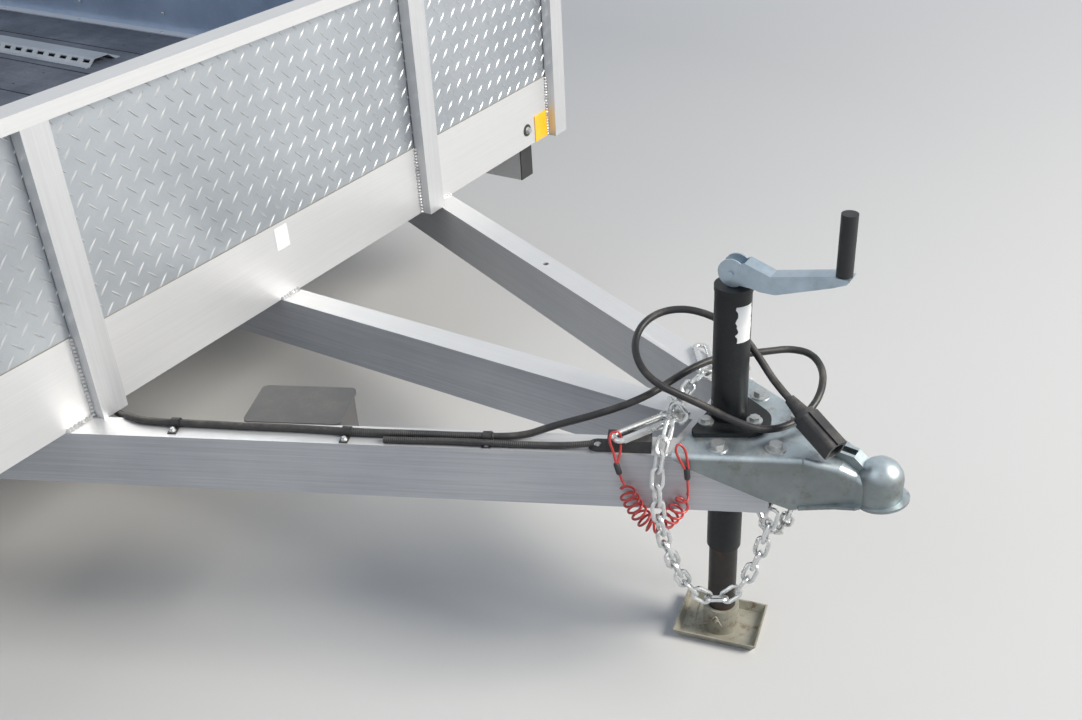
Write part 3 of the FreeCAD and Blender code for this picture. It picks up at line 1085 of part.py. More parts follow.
def lamps():
    """Oval tail lamps on the sill and square reflectors, amber in front and red behind."""
    lamps = []
    back, middle, run, half = S.bed_length, S.lamp_rise, S.lamp_run, S.lamp_half
    for x in (S.lamp_side - S.half_width, S.half_width - S.lamp_side):
        face = outline(Vector(x - run, back, middle - half), Vector(x + run, back, middle - half),
                       (Vector(x + run + half, back, middle), Vector(x + run, back, middle + half)),
                       Vector(x - run, back, middle + half),
                       (Vector(x - run - half, back, middle), Vector(x - run, back, middle - half)))
        lamps.append(face.extrude(Vector(0, S.lamp_thick, 0)))
    node("tail_lamps", shaped("oval_lamps", Part.makeCompound(lamps)))
    plates = []
    for x in (S.reflector_side - S.half_width, S.half_width - S.reflector_side):
        corner = Vector(x - S.reflector_wide / 2, -S.reflector_thick, S.reflector_foot)
        plates.append(Part.makeBox(S.reflector_wide, S.reflector_thick, S.reflector_tall, corner))
    node("front_reflectors", shaped("reflector_plates", Part.makeCompound(plates)))


frame_pieces()
tongue_pieces()
wall_pieces()
hat_strips()
running_gear()
gate_pieces()
coupler_pieces()
jack_pieces()
tongue_fittings()
lamps()

doc.recompute()
for thing in doc.Objects:
    if "Invalid" in thing.State or "Error" in thing.State:
        raise RuntimeError("%s did not recompute: %s" % (thing.Label, thing.State))
os.makedirs("parts", exist_ok=True)
for thing in NODES:
    if thing.Shape.isNull() or not thing.Shape.isValid():
        raise RuntimeError("%s has no valid shape" % thing.Label)
    thing.Shape.exportStep("parts/%s.step" % thing.Label)
print("%d sub-parts, %d solids" % (len(NODES), sum(len(thing.Shape.Solids) for thing in NODES)))
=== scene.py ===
# %% [markdown]
# This script dresses an open utility trailer parked on its tongue jack. The structure, sizes and joints
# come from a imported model, the frame, which the script never moves or reshapes. It adds what the eye looks
# for up close: the finish of each metal, the treadplate's raised lugs, tread on the tyres, round chain
# links, weld beads, bolts, and cords in smooth curves.

# %% Load the frame
import fnmatch
import math
import random

import bmesh
import bpy
import numpy as np
from mathutils import Matrix, Vector
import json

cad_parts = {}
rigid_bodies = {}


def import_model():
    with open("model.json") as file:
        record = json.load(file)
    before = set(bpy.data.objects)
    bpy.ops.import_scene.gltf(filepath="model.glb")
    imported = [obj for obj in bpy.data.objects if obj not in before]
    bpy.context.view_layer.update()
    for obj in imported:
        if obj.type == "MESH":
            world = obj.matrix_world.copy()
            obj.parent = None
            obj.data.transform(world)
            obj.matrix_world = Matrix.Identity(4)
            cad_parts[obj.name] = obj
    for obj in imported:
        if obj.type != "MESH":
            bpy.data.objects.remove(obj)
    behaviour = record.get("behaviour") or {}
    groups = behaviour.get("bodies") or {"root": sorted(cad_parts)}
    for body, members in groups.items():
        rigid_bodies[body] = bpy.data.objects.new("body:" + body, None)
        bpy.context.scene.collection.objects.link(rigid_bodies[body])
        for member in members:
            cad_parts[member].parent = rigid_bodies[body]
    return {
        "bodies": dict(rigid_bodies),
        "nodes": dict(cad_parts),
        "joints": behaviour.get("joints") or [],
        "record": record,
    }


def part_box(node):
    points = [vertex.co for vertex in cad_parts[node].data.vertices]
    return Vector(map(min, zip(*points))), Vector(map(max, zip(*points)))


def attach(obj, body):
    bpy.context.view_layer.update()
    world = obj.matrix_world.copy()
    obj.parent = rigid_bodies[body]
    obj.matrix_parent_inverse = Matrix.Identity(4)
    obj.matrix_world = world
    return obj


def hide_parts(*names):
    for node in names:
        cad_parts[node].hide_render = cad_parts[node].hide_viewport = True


frame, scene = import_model(), bpy.context.scene
nodes = frame["nodes"]
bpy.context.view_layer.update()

# %% [markdown]
# Places are written in millimetres from two surfaces: the front face of the bed's front rail, and the top
# of the tongue's tubes. Both are read from the frame, so a place stays right wherever the frame's origin
# is.

# %% Places in millimetres
MM = 0.001
front_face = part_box("front_rail")[0].y
tongue_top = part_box("tongue_tube_left")[1].z


def spot(x, y, z):
    """A point in the frame's metres: x to the right, y back from the front face, z up from the tongue."""
    return Vector((x * MM, front_face + y * MM, tongue_top + z * MM))


def spots(rows):
    return [spot(*row) for row in rows]


print("front face at y %.4f, tongue's top at z %.4f" % (front_face, tongue_top))

# %% [markdown]
# The camera stands left of the tongue, a metre and a half up, and looks across it to the bed's front
# corner. Its place, angles and focal length were solved once from corners of known size. A focal length in
# pixels becomes a lens in millimetres through the sensor's width.

# %% Camera
PHOTO_WIDTH, FOCAL_PIXELS, SENSOR = 1082, 1171.64, 36.0
CAMERA_PLACE, CAMERA_ANGLES = (-1439.3, -1554.4, 1067.5), (56.10, 31.31, -3.385)
yaw, pitch, roll = (math.radians(angle) for angle in CAMERA_ANGLES)
forward = Vector((math.sin(yaw) * math.cos(pitch), math.cos(yaw) * math.cos(pitch), -math.sin(pitch)))
level = Vector((math.cos(yaw), -math.sin(yaw), 0))
upright = level.cross(forward)
right = level * math.cos(roll) + upright * math.sin(roll)
top = upright * math.cos(roll) - level * math.sin(roll)

optics = bpy.data.cameras.new("camera")
optics.sensor_fit = "HORIZONTAL"
optics.sensor_width = SENSOR
optics.lens = FOCAL_PIXELS * SENSOR / PHOTO_WIDTH
optics.clip_end = 100
camera = bpy.data.objects.new("camera", optics)
turned = Matrix((right, top, -forward)).transposed().to_4x4()
camera.matrix_world = Matrix.Translation(spot(*CAMERA_PLACE)) @ turned
scene.collection.objects.link(camera)
scene.camera = camera
scene.view_settings.view_transform = "Standard"
print("camera lens %.2f mm" % optics.lens)

# %% [markdown]
# Bare aluminium shows mostly what it reflects, so the light around it matters as much as its own colour.
# The world is a soft sky, bluish overhead and paler at the horizon. One large warm lamp gives the shadows a
# side to fall to, and a weak one fills them. Camera rays and mirror rays see a plain pale world, so the
# background stays even.

# %% World and lamps
SKY_TOP, SKY_EDGE, SKY_STRENGTH = (0.44, 0.58, 0.84), (0.78, 0.80, 0.80), 0.42
BACKDROP = (0.74, 0.76, 0.78)

scene.world = bpy.data.worlds.new("sky")
scene.world.use_nodes = True
sky = scene.world.node_tree
sky.nodes.clear()


def feed(tree, socket, value):
    """Links a socket, or sets its value; a colour of three numbers gets its fourth."""
    if isinstance(value, bpy.types.NodeSocket):
        tree.links.new(value, socket)
    else:
        socket.default_value = (*value, 1) if socket.type == "RGBA" and len(value) == 3 else value


def put(tree, kind, sockets=None, **settings):
    """Adds a node, sets its settings, and feeds its sockets."""
    node = tree.nodes.new(kind)
    for name, value in settings.items():
        setattr(node, name, value)
    for key, value in (sockets or {}).items():
        feed(tree, node.inputs[key], value)
    return node


def ramp(tree, value, *stops):
    """A colour ramp between two stops, each given as place and colour."""
    node = put(tree, "ShaderNodeValToRGB", {"Fac": value})
    for element, (place, colour) in zip(node.color_ramp.elements, stops):
        element.position = place
        element.color = (*colour, 1)
    return node.outputs["Color"]


def math_node(tree, operation, *values):
    return put(tree, "ShaderNodeMath", dict(enumerate(values)), operation=operation).outputs[0]


def product(tree, first, *others):
    """Several numbers multiplied."""
    for other in others:
        first = math_node(tree, "MULTIPLY", first, other)
    return first


def plain_to_eye(tree):
    """One for camera rays and mirror rays, and nought for the rays that carry light."""
    rays = put(tree, "ShaderNodeLightPath").outputs
    mirror = math_node(tree, "MAXIMUM", rays["Is Glossy Ray"], rays["Is Transmission Ray"])
    return math_node(tree, "MAXIMUM", rays["Is Camera Ray"], mirror)


def plain_over(tree, kind, share, lit):
    """What is lit, with a share of the backdrop's plain colour over it."""
    plain = put(tree, kind, {"Color": BACKDROP, "Strength": 1.0})
    return put(tree, "ShaderNodeMixShader", {0: share, 1: lit, 2: plain.outputs[0]}).outputs[0]


way = put(sky, "ShaderNodeTexCoord").outputs["Generated"]
height = put(sky, "ShaderNodeSeparateXYZ", {0: way}).outputs["Z"]
gradient = ramp(sky, height, (0.0, SKY_EDGE), (0.75, SKY_TOP))
lit = put(sky, "ShaderNodeBackground", {"Color": gradient, "Strength": SKY_STRENGTH}).outputs[0]
both = plain_over(sky, "ShaderNodeBackground", plain_to_eye(sky), lit)
put(sky, "ShaderNodeOutputWorld", {"Surface": both})


def lamp(name, place, aim, size, power, colour):
    data = bpy.data.lights.new(name, "AREA")
    data.size, data.energy, data.color = size, power, colour
    thing = bpy.data.objects.new(name, data)
    thing.location = place
    thing.rotation_euler = (Vector(aim) - Vector(place)).to_track_quat("-Z", "Y").to_euler()
    scene.collection.objects.link(thing)


lamp("key", (1.9, -8.0, 5.2), aim=(0, -1.2, 0.4), size=3.4, power=870, colour=(1.0, 0.95, 0.87))
lamp("fill", (-4.5, 0.5, 4.5), aim=(0, 0, 0.4), size=4.0, power=40, colour=(0.90, 0.95, 1.0))
print("world and lamps are set")

# %% [markdown]
# Effects that several finishes share are node groups, built once here, which hand out colours, masks and
# heights. The shader itself stays in each material, where its plain numbers, such as metallic, are set on
# its own sockets.

# %% Helpers for node groups
MIX_INPUTS, MIX_RESULT = (0, 6, 7), 2


def node_group(name, inputs, outputs):
    """An empty shader group with named sockets: each input is a name, a kind and a starting value."""
    tree = bpy.data.node_groups.new(name, "ShaderNodeTree")
    for label, kind, value in inputs:
        socket = tree.interface.new_socket(label, in_out="INPUT", socket_type="NodeSocket" + kind)
        socket.default_value = value
    for label, kind in outputs:
        tree.interface.new_socket(label, in_out="OUTPUT", socket_type="NodeSocket" + kind)
    return tree, tree.nodes.new("NodeGroupInput").outputs, tree.nodes.new("NodeGroupOutput").inputs


def fill(tree, outputs, **values):
    for label, socket in values.items():
        tree.links.new(socket, outputs[label])


def use_group(tree, name, **values):
    node = put(tree, "ShaderNodeGroup", node_tree=bpy.data.node_groups[name])
    for label, value in values.items():
        feed(tree, node.inputs[label], value)
    return node.outputs


def mix(tree, share, first, second):
    """Mixes two colours."""
    node = put(tree, "ShaderNodeMix", data_type="RGBA")
    for place, value in zip(MIX_INPUTS, (share, first, second)):
        feed(tree, node.inputs[place], value)
    return node.outputs[MIX_RESULT]


def remap(tree, value, low, high, to_low=0.0, to_high=1.0):
    sockets = {"Value": value, "From Min": low, "From Max": high, "To Min": to_low, "To Max": to_high}
    return put(tree, "ShaderNodeMapRange", sockets).outputs[0]


def noise(tree, vector, scale, detail=3.0, rough=0.55):
    sockets = {"Vector": vector, "Scale": scale, "Detail": detail, "Roughness": rough}
    return put(tree, "ShaderNodeTexNoise", sockets).outputs["Fac"]


def place_in(tree):
    return put(tree, "ShaderNodeTexCoord").outputs["Object"]


def squeezed(tree, vector, factors):
    """The coordinates times three factors, which stretches a noise along the axis with the least of them."""
    return put(tree, "ShaderNodeVectorMath", {0: vector, 1: factors}, operation="MULTIPLY").outputs[0]


def upwards(tree):
    """How far the surface faces up, from minus one to one."""
    normal = put(tree, "ShaderNodeNewGeometry").outputs["Normal"]
    return put(tree, "ShaderNodeSeparateXYZ", {0: normal}).outputs["Z"]


# %% [markdown]
# An extruded tube carries faint lines along its length, from the die. Noise squeezed across the tube and
# stretched along it gives them. The tongue's tubes run at an angle, so the group first turns the
# coordinates about the vertical.

# %% Group: lines of an extrusion
tree, given, out = node_group(
    "extrusion lines", [("Spin", "Float", 0.0), ("Stretch", "Vector", (300, 4, 300))],
    [("Lines", "Float"), ("Patches", "Float")])
turned = put(tree, "ShaderNodeVectorRotate", {"Vector": place_in(tree), "Angle": given["Spin"]},
             rotation_type="Z_AXIS").outputs[0]
fill(tree, out, Lines=noise(tree, squeezed(tree, turned, given["Stretch"]), 1.0, 4.0, 0.7),
     Patches=noise(tree, place_in(tree), 2.3, 4.0, 0.6))
print("group: extrusion lines")

# %% [markdown]
# Outdoor things gather dust on what faces up. The group mixes a dust colour in there, where a coarse noise
# is high, and hands out the same mask, because dust is rough as well.

# %% Group: dust
GREY, DUST_COLOUR = (0.5, 0.5, 0.5, 1), (0.42, 0.38, 0.32, 1)
tree, given, out = node_group("dust", [("Colour", "Color", GREY), ("Dust", "Color", DUST_COLOUR),
                                       ("Amount", "Float", 0.3), ("Scale", "Float", 6.0)],
                              [("Colour", "Color"), ("Mask", "Float")])
facing = remap(tree, upwards(tree), 0.0, 1.0, 0.25, 1.0)
coarse = remap(tree, noise(tree, place_in(tree), given["Scale"], 6.0, 0.65), 0.42, 0.72)
fine = remap(tree, noise(tree, place_in(tree), 160.0, 2.0), 0.35, 0.75, 0.4, 1.0)
mask = product(tree, facing, coarse, fine, given["Amount"])
fill(tree, out, Colour=mix(tree, mask, given["Colour"], given["Dust"]), Mask=mask)
print("group: dust")

# %% [markdown]
# Fine scratches run every way on sheet metal that has been leaned on and loaded over. Three noises, each
# stretched its own way and cut to thin bright bands, cross one another.

# %% Group: scratches
SCRATCH_WAYS, SCRATCH_AXIS = ((0.5, (1, 26, 26)), (-0.9, (24, 1, 24)), (1.9, (22, 22, 1.4))), (0.4, 0.5, 0.8)
tree, given, out = node_group("scratches", [("Amount", "Float", 0.5), ("Scale", "Float", 20.0)],
                              [("Mask", "Float")])
bands = []
for angle, factors in SCRATCH_WAYS:
    turned = put(tree, "ShaderNodeVectorRotate", {0: place_in(tree), "Angle": angle, "Axis": SCRATCH_AXIS})
    lined = noise(tree, squeezed(tree, turned.outputs[0], factors), given["Scale"], 2.0)
    bands.append(remap(tree, lined, 0.66, 0.70))
crossed = math_node(tree, "MAXIMUM", math_node(tree, "MAXIMUM", bands[0], bands[1]), bands[2])
fill(tree, out, Mask=product(tree, crossed, given["Amount"]))
print("group: scratches")

# %% [markdown]
# Rolled and plated metals are blotchy. The group makes slow blotches, a cell pattern as zinc has, and a
# fine grain, each handed out apart for colour, roughness or bump.

# %% Group: blotches
tree, given, out = node_group("blotches", [("Scale", "Float", 12.0), ("Cells", "Float", 60.0)],
                              [("Blotch", "Float"), ("Cell", "Float"), ("Grain", "Float")])
cell = put(tree, "ShaderNodeTexVoronoi", {"Vector": place_in(tree), "Scale": given["Cells"]}).outputs["Color"]
fill(tree, out, Blotch=noise(tree, place_in(tree), given["Scale"], 6.0, 0.65),
     Cell=put(tree, "ShaderNodeSeparateColor", {0: cell}).outputs[0],
     Grain=noise(tree, place_in(tree), 700.0, 2.0))
print("group: blotches")

# %% [markdown]
# Upright sides and faces that look down are darkened with painted shade, as they get less of the light than
# tops do. This group's mask is high where a surface stands upright or faces down.

# %% Group: sides, the mask of painted side shade
tree, given, out = node_group("sides", [("Amount", "Float", 0.5)], [("Mask", "Float")])
uneven = remap(tree, noise(tree, place_in(tree), 5.0, 4.0), 0.3, 0.7, 0.75, 1.0)
# Painted shade: the mask rises as a face turns from facing up to upright or down.
shaded_facing = remap(tree, upwards(tree), 0.75, 0.25)
fill(tree, out, Mask=product(tree, shaded_facing, uneven, given["Amount"]))
print("group: sides")

# %% [markdown]
# Every material starts from one helper that makes the Principled shader and its output, and keeps it by
# name. Each finish then feeds it colours, roughness, a bump and plain numbers.

# %% A helper for materials
finishes = {}


def finish(name, metallic=0.0, **plain_values):
    """A new material with a Principled shader, kept under its name."""
    material = finishes[name] = bpy.data.materials.new(name)
    material.use_nodes = True
    tree = material.node_tree
    tree.nodes.clear()
    shader = put(tree, "ShaderNodeBsdfPrincipled", {"Metallic": metallic})
    for label, value in plain_values.items():
        feed(tree, shader.inputs[label.replace("_", " ")], value)
    put(tree, "ShaderNodeOutputMaterial", {"Surface": shader.outputs[0]})
    return tree, shader.inputs


def wire(tree, inputs, colour, rough, height, strength, distance):
    """Joins a material's colour, roughness and height to its shader."""
    bump = put(tree, "ShaderNodeBump", {"Height": height, "Strength": strength, "Distance": distance})
    for label, socket in (("Base Color", colour), ("Roughness", rough), ("Normal", bump.outputs[0])):
        tree.links.new(socket, inputs[label])


# %% [markdown]
# Mill aluminium is the trailer's main finish: pale, half matt, lined along each tube, with slow changes of
# tone and a little dust. The sides of the tongue's tubes and of the posts are darkened with painted shade,
# the left and middle tubes most. The lines have to follow each tube, so one function makes a material for
# each direction.

# %% Mill aluminium
MILL_DARK, MILL_LIGHT, MILL_PATCH = (0.70, 0.705, 0.715), (0.77, 0.775, 0.78), (0.61, 0.625, 0.65)
# Painted shade: the dark tones of upright sides, and how much of it the posts and each tube get.
SIDE_SHADE_DARK, SIDE_SHADE_LIGHT = (0.29, 0.31, 0.35), (0.44, 0.46, 0.50)
POST_SIDE_SHADE, TUBE_SIDE_SHADE, RIGHT_SIDE_SHADE = 0.3, 0.8, 0.4
ACROSS, ALONG, UPRIGHT, TONGUE_ANGLE = (4, 330, 330), (330, 4, 330), (330, 330, 4), math.radians(24.4)


def mill(name, stretch, spin=0.0, side_shade=0.0):
    tree, inputs = finish(name, 0.6)
    lines = use_group(tree, "extrusion lines", Spin=spin, Stretch=stretch)
    tone = ramp(tree, lines["Lines"], (0.25, MILL_DARK), (0.75, MILL_LIGHT))
    tone = mix(tree, remap(tree, lines["Patches"], 0.35, 0.75, 0.0, 0.45), tone, MILL_PATCH)
    # Painted shade: upright and downward faces go towards this darker tone.
    dull = ramp(tree, lines["Lines"], (0.3, SIDE_SHADE_DARK), (0.7, SIDE_SHADE_LIGHT))
    tone = mix(tree, use_group(tree, "sides", Amount=side_shade)["Mask"], tone, dull)
    dusty = use_group(tree, "dust", Colour=tone, Amount=0.12, Scale=3.0)
    rough = remap(tree, lines["Patches"], 0.3, 0.8, 0.42, 0.56)
    rough = math_node(tree, "ADD", rough, product(tree, dusty["Mask"], 0.5))
    wire(tree, inputs, dusty["Colour"], rough, lines["Lines"], 0.05, 0.0005)


mill("mill_across", ACROSS)
mill("mill_along", ALONG)
mill("mill_upright", UPRIGHT, side_shade=POST_SIDE_SHADE)
mill("mill_tongue_centre", ALONG, side_shade=TUBE_SIDE_SHADE)
mill("mill_tongue_left", ALONG, -TONGUE_ANGLE, TUBE_SIDE_SHADE)
mill("mill_tongue_right", ALONG, TONGUE_ANGLE, RIGHT_SIDE_SHADE)
print("mill aluminium for six ways of lying")

# %% [markdown]
# Sheet metal is smoother than the tubes, blotchy, and lightly scratched. The treadplate's face is grey, and
# its lugs, which are real geometry further down, are rubbed bright and made lighter still as a painted
# highlight. The linings inside the walls are flat, and their bluish cast is painted sky light.

# %% Treadplate, its lugs and the smooth lining
RUBBED = (0.85, 0.86, 0.87)


def sheet(name, metallic, dark, light, rough, scratched, dust):
    tree, inputs = finish(name, metallic)
    blot = use_group(tree, "blotches", Scale=4.0, Cells=40.0)
    wear = use_group(tree, "scratches", Amount=scratched, Scale=9.0)
    tone = ramp(tree, blot["Blotch"], (0.3, dark), (0.78, light))
    tone = mix(tree, wear["Mask"], tone, RUBBED)
    dusty = use_group(tree, "dust", Colour=tone, Amount=dust, Scale=5.0)
    shine = remap(tree, blot["Blotch"], 0.3, 0.8, *rough)
    wire(tree, inputs, dusty["Colour"], shine, blot["Grain"], 0.06, 0.0005)


sheet("treadplate", 0.85, (0.46, 0.50, 0.54), (0.58, 0.615, 0.65), (0.32, 0.46), 0.08, 0.2)
# Lugs rubbed bright, and made lighter still than the sheet as a painted highlight.
sheet("lug_metal", 0.85, (0.64, 0.65, 0.66), (0.78, 0.785, 0.79), (0.33, 0.43), 0.0, 0.05)
# Painted sky light: the linings' bluish tones stand in for the blue of the sky on them.
sheet("smooth_sheet", 0.75, (0.38, 0.48, 0.64), (0.52, 0.63, 0.80), (0.35, 0.55), 0.2, 0.2)
sheet("dull_strip", 0.6, (0.33, 0.37, 0.42), (0.50, 0.54, 0.59), (0.40, 0.55), 0.1, 0.3)
print("sheet finishes")

# %% [markdown]
# The deck's boards are dark, stained planks with the grain along the trailer, tinted bluish as painted sky
# light, their dust too. Stretched noise makes the grain, a wave bent by noise makes the growth rings, and
# dust settles thickly since the boards lie flat.

# %% Deck boards
# Painted sky light: the wood's tones and its dust are tinted blue.
GRAIN_SQUEEZE, BOARDS_PER_METRE = (46, 2.2, 46), 5.128
GRAIN_DARK, GRAIN_LIGHT = (0.036, 0.047, 0.068), (0.108, 0.126, 0.165)
RING_TONE, PALE_BOARD, SKY_TINTED_DECK_DUST = (0.048, 0.054, 0.068), (0.12, 0.135, 0.165), (0.31, 0.34, 0.40)
tree, inputs = finish("deck_wood")
along = squeezed(tree, place_in(tree), GRAIN_SQUEEZE)
rings = put(tree, "ShaderNodeTexWave", {"Vector": along, "Scale": 0.55, "Distortion": 5.0, "Detail": 3.0},
            bands_direction="X").outputs["Fac"]
grain = noise(tree, along, 2.6, 6.0, 0.7)
board = squeezed(tree, place_in(tree), (BOARDS_PER_METRE, 0, 0))
board = put(tree, "ShaderNodeVectorMath", {0: board}, operation="FLOOR").outputs[0]
board = put(tree, "ShaderNodeTexWhiteNoise", {"Vector": board}).outputs["Value"]
tone = ramp(tree, grain, (0.3, GRAIN_DARK), (0.7, GRAIN_LIGHT))
tone = mix(tree, product(tree, rings, 0.35), tone, RING_TONE)
tone = mix(tree, product(tree, board, 0.35), tone, PALE_BOARD)
dusty = use_group(tree, "dust", Colour=tone, Dust=SKY_TINTED_DECK_DUST, Amount=0.42, Scale=7.0)
wire(tree, inputs, dusty["Colour"], remap(tree, grain, 0.2, 0.8, 0.55, 0.8), grain, 0.6, 0.001)
print("deck wood")

# %% [markdown]
# Steel pieces of the tongue are zinc plated: grey, blotchy, stained where hands and chains rub. The bluish
# cast of the crank's and the coupler's zinc is a painted sky reflection, and the coupler's upright sides are
# darkened with painted shade. The same function makes the galvanised axles and the dirty yellow plating of
# the jack's foot, and a second one makes paint, plastic and rubber.

# %% Steels, paints and plastics
# The near-black tone of painted shade on upright steel sides.
STEEL_SIDE_SHADE = (0.12, 0.13, 0.12)


def plated(name, dark, light, stain, stain_share, rough=(0.3, 0.5), metallic=0.85, dust=0.25, side_shade=0.0):
    tree, inputs = finish(name, metallic)
    blot = use_group(tree, "blotches", Scale=22.0, Cells=70.0)
    tone = ramp(tree, blot["Blotch"], (0.3, dark), (0.72, light))
    tone = mix(tree, product(tree, blot["Cell"], 0.18), tone, light)
    spread = remap(tree, noise(tree, place_in(tree), 34.0, 6.0, 0.7), 0.54, 0.66, 0.0, stain_share)
    tone = mix(tree, spread, tone, stain)
    # Painted shade: upright and downward faces go towards the near-black tone.
    tone = mix(tree, use_group(tree, "sides", Amount=side_shade)["Mask"], tone, STEEL_SIDE_SHADE)
    dusty = use_group(tree, "dust", Colour=tone, Amount=dust, Scale=14.0)
    value = remap(tree, blot["Blotch"], 0.25, 0.8, *rough)
    value = math_node(tree, "ADD", value, product(tree, spread, 0.3))
    wire(tree, inputs, dusty["Colour"], value, blot["Grain"], 0.03, 0.0004)


# Painted sky reflection: the blue in the crank's and the coupler's tones stands in for reflected sky. The
# coupler's last argument darkens its upright sides as painted shade.
plated("zinc", (0.35, 0.44, 0.51), (0.54, 0.64, 0.73), (0.34, 0.32, 0.26), 0.3)
plated("coupler_zinc", (0.36, 0.43, 0.465), (0.64, 0.72, 0.765), (0.27, 0.24, 0.17), 0.5, side_shade=0.78)
plated("bolt_zinc", (0.44, 0.46, 0.47), (0.58, 0.60, 0.61), (0.36, 0.31, 0.22), 0.3, (0.34, 0.46), 0.8)
plated("bright_zinc", (0.56, 0.58, 0.59), (0.78, 0.79, 0.79), (0.40, 0.33, 0.22), 0.25, (0.22, 0.34))
plated("galvanised", (0.34, 0.36, 0.38), (0.55, 0.57, 0.59), (0.26, 0.22, 0.18), 0.3, (0.4, 0.6))
plated("yellow_zinc", (0.27, 0.265, 0.22), (0.45, 0.435, 0.36), (0.17, 0.11, 0.06), 0.8,
       (0.45, 0.7), 0.35, 0.35)
plated("greasy_steel", (0.008, 0.008, 0.008), (0.035, 0.03, 0.027), (0.12, 0.05, 0.02), 0.5,
       (0.34, 0.5), 0.3, 0.05)
plated("wheel_silver", (0.55, 0.56, 0.58), (0.66, 0.67, 0.69), (0.40, 0.37, 0.33), 0.25, (0.3, 0.45), 0.5)
plated("weld_metal", (0.46, 0.47, 0.48), (0.72, 0.72, 0.72), (0.35, 0.33, 0.30), 0.35, (0.34, 0.5))


def coated(name, colour, rough, grain_height=0.05, dust=0.2, wear_colour=None, **plain_values):
    """Paint, plastic or rubber: one colour that wanders a little, with a fine grain."""
    tree, inputs = finish(name, **plain_values)
    blot = use_group(tree, "blotches", Scale=18.0, Cells=120.0)
    pale = tuple(channel * 1.6 + 0.004 for channel in colour)
    tone = mix(tree, remap(tree, blot["Blotch"], 0.3, 0.8, 0.0, 0.4), colour, pale)
    if wear_colour:
        wear = use_group(tree, "scratches", Amount=0.25, Scale=26.0)
        tone = mix(tree, wear["Mask"], tone, wear_colour)
    dusty = use_group(tree, "dust", Colour=tone, Amount=dust, Scale=16.0)
    value = remap(tree, blot["Blotch"], 0.25, 0.8, rough - 0.06, rough + 0.08)
    value = math_node(tree, "ADD", value, product(tree, dusty["Mask"], 0.4))
    wire(tree, inputs, dusty["Colour"], value, blot["Grain"], grain_height, 0.0004)


coated("black_paint", (0.010, 0.012, 0.014), 0.42, 0.02, 0.08, (0.08, 0.08, 0.08), Specular_IOR_Level=0.35)
coated("black_plastic", (0.022, 0.023, 0.026), 0.48, 0.25, 0.3)
coated("box_plastic", (0.085, 0.085, 0.086), 0.5, 0.25, 0.2)
coated("cord_jacket", (0.018, 0.018, 0.020), 0.42, 0.08, 0.35)
coated("grip_rubber", (0.012, 0.014, 0.016), 0.5, 0.2, 0.15)
coated("red_jacket", (0.44, 0.024, 0.024), 0.3, 0.02, 0.1, Coat_Weight=0.5)
coated("tyre_rubber", (0.020, 0.020, 0.021), 0.62, 0.35, 0.6)
coated("white_label", (0.78, 0.79, 0.80), 0.4, 0.02, 0.15)
coated("seam_dust", (0.24, 0.22, 0.19), 0.8, 0.3, 0.5)
coated("amber_lens", (0.93, 0.47, 0.002), 0.22, 0.02, 0.1, Coat_Weight=0.6)
coated("red_lens", (0.42, 0.006, 0.008), 0.16, 0.02, 0.1, Coat_Weight=0.8)
print("steels, paints and plastics")

# %% [markdown]
# The carried-over nodes get their finishes from one table, in which a star stands for anything. The tubes
# are grouped by direction, so that the extrusion lines run the right way.

# %% Dress the frame's own nodes
DRESS = (
    ("mill_across", "front_rail rear_sill floor_joists tongue_cross_tube top_rail_front gate_slats *_hinges"),
    ("mill_along", "side_rail_* main_rail_* top_rail_left top_rail_right"),
    ("mill_upright", "front_posts side_posts_* gate_frame"),
    ("mill_tongue_centre", "tongue_tube_centre"),
    ("mill_tongue_left", "tongue_tube_left"),
    ("mill_tongue_right", "tongue_tube_right"),
    ("treadplate", "front_sheet side_sheet_* fender_*"),
    ("smooth_sheet", "wall_linings"),
    ("dull_strip", "grip_strips"),
    ("deck_wood", "deck_boards"),
    ("coupler_zinc", "coupler"),
    ("zinc", "jack_crank"),
    ("bolt_zinc", "coupler_bolts"),
    ("bright_zinc", "safety_chain_* chain_hooks"),
    ("galvanised", "axle_*"),
    ("yellow_zinc", "jack_foot"),
    ("greasy_steel", "jack_leg"),
    ("wheel_silver", "rim_*"),
    ("black_paint", "jack_tube"),
    ("black_plastic", "breakaway_switch rail_end_caps trailer_plug"),
    ("box_plastic", "junction_box"),
    ("cord_jacket", "wiring_harness trailer_cord harness_clips"),
    ("grip_rubber", "crank_grip"),
    ("tyre_rubber", "tyre_*"),
    ("red_jacket", "breakaway_cable"),
    ("amber_lens", "front_reflectors"),
    ("red_lens", "tail_lamps"),
)
dressed = set()
for look, patterns in DRESS:
    for pattern in patterns.split():
        for name in fnmatch.filter(nodes, pattern):
            mesh = nodes[name].data
            mesh.materials.clear()
            mesh.materials.append(finishes[look])
            dressed.add(name)
print("dressed", len(dressed), "of", len(nodes), "nodes")

# %% [markdown]
# New pieces are meshes made of points and faces. One helper makes the mesh and smooths what is round while
# keeping creases. Another hangs it on a body with its finish.

# %% Helpers for new pieces
CREASE = math.radians(38)


def hang(name, data, look, body):
    """Puts a mesh or a curve on a body, with the look's finish as its material."""
    data.materials.append(finishes[look])
    thing = bpy.data.objects.new(name, data)
    scene.collection.objects.link(thing)
    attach(thing, body)
    return thing


def piece(name, points, faces, look, body="frame", slot=None, crease=CREASE):
    mesh = bpy.data.meshes.new(name)
    mesh.from_pydata([tuple(point) for point in points], [], faces)
    mesh.update()
    mesh.shade_smooth()
    mesh.set_sharp_from_angle(angle=crease)
    return hang(name, mesh, look, body)


# %% [markdown]
# The plug's cord comes first, because its whole length hangs free above the coupler. It leaves the wiring
# harness on the left tube, climbs over the chains, winds one and a half turns round the jack and ends in
# the plug, which lies on the coupler. A NURBS curve with the given points as its control points stays
# smooth between them.

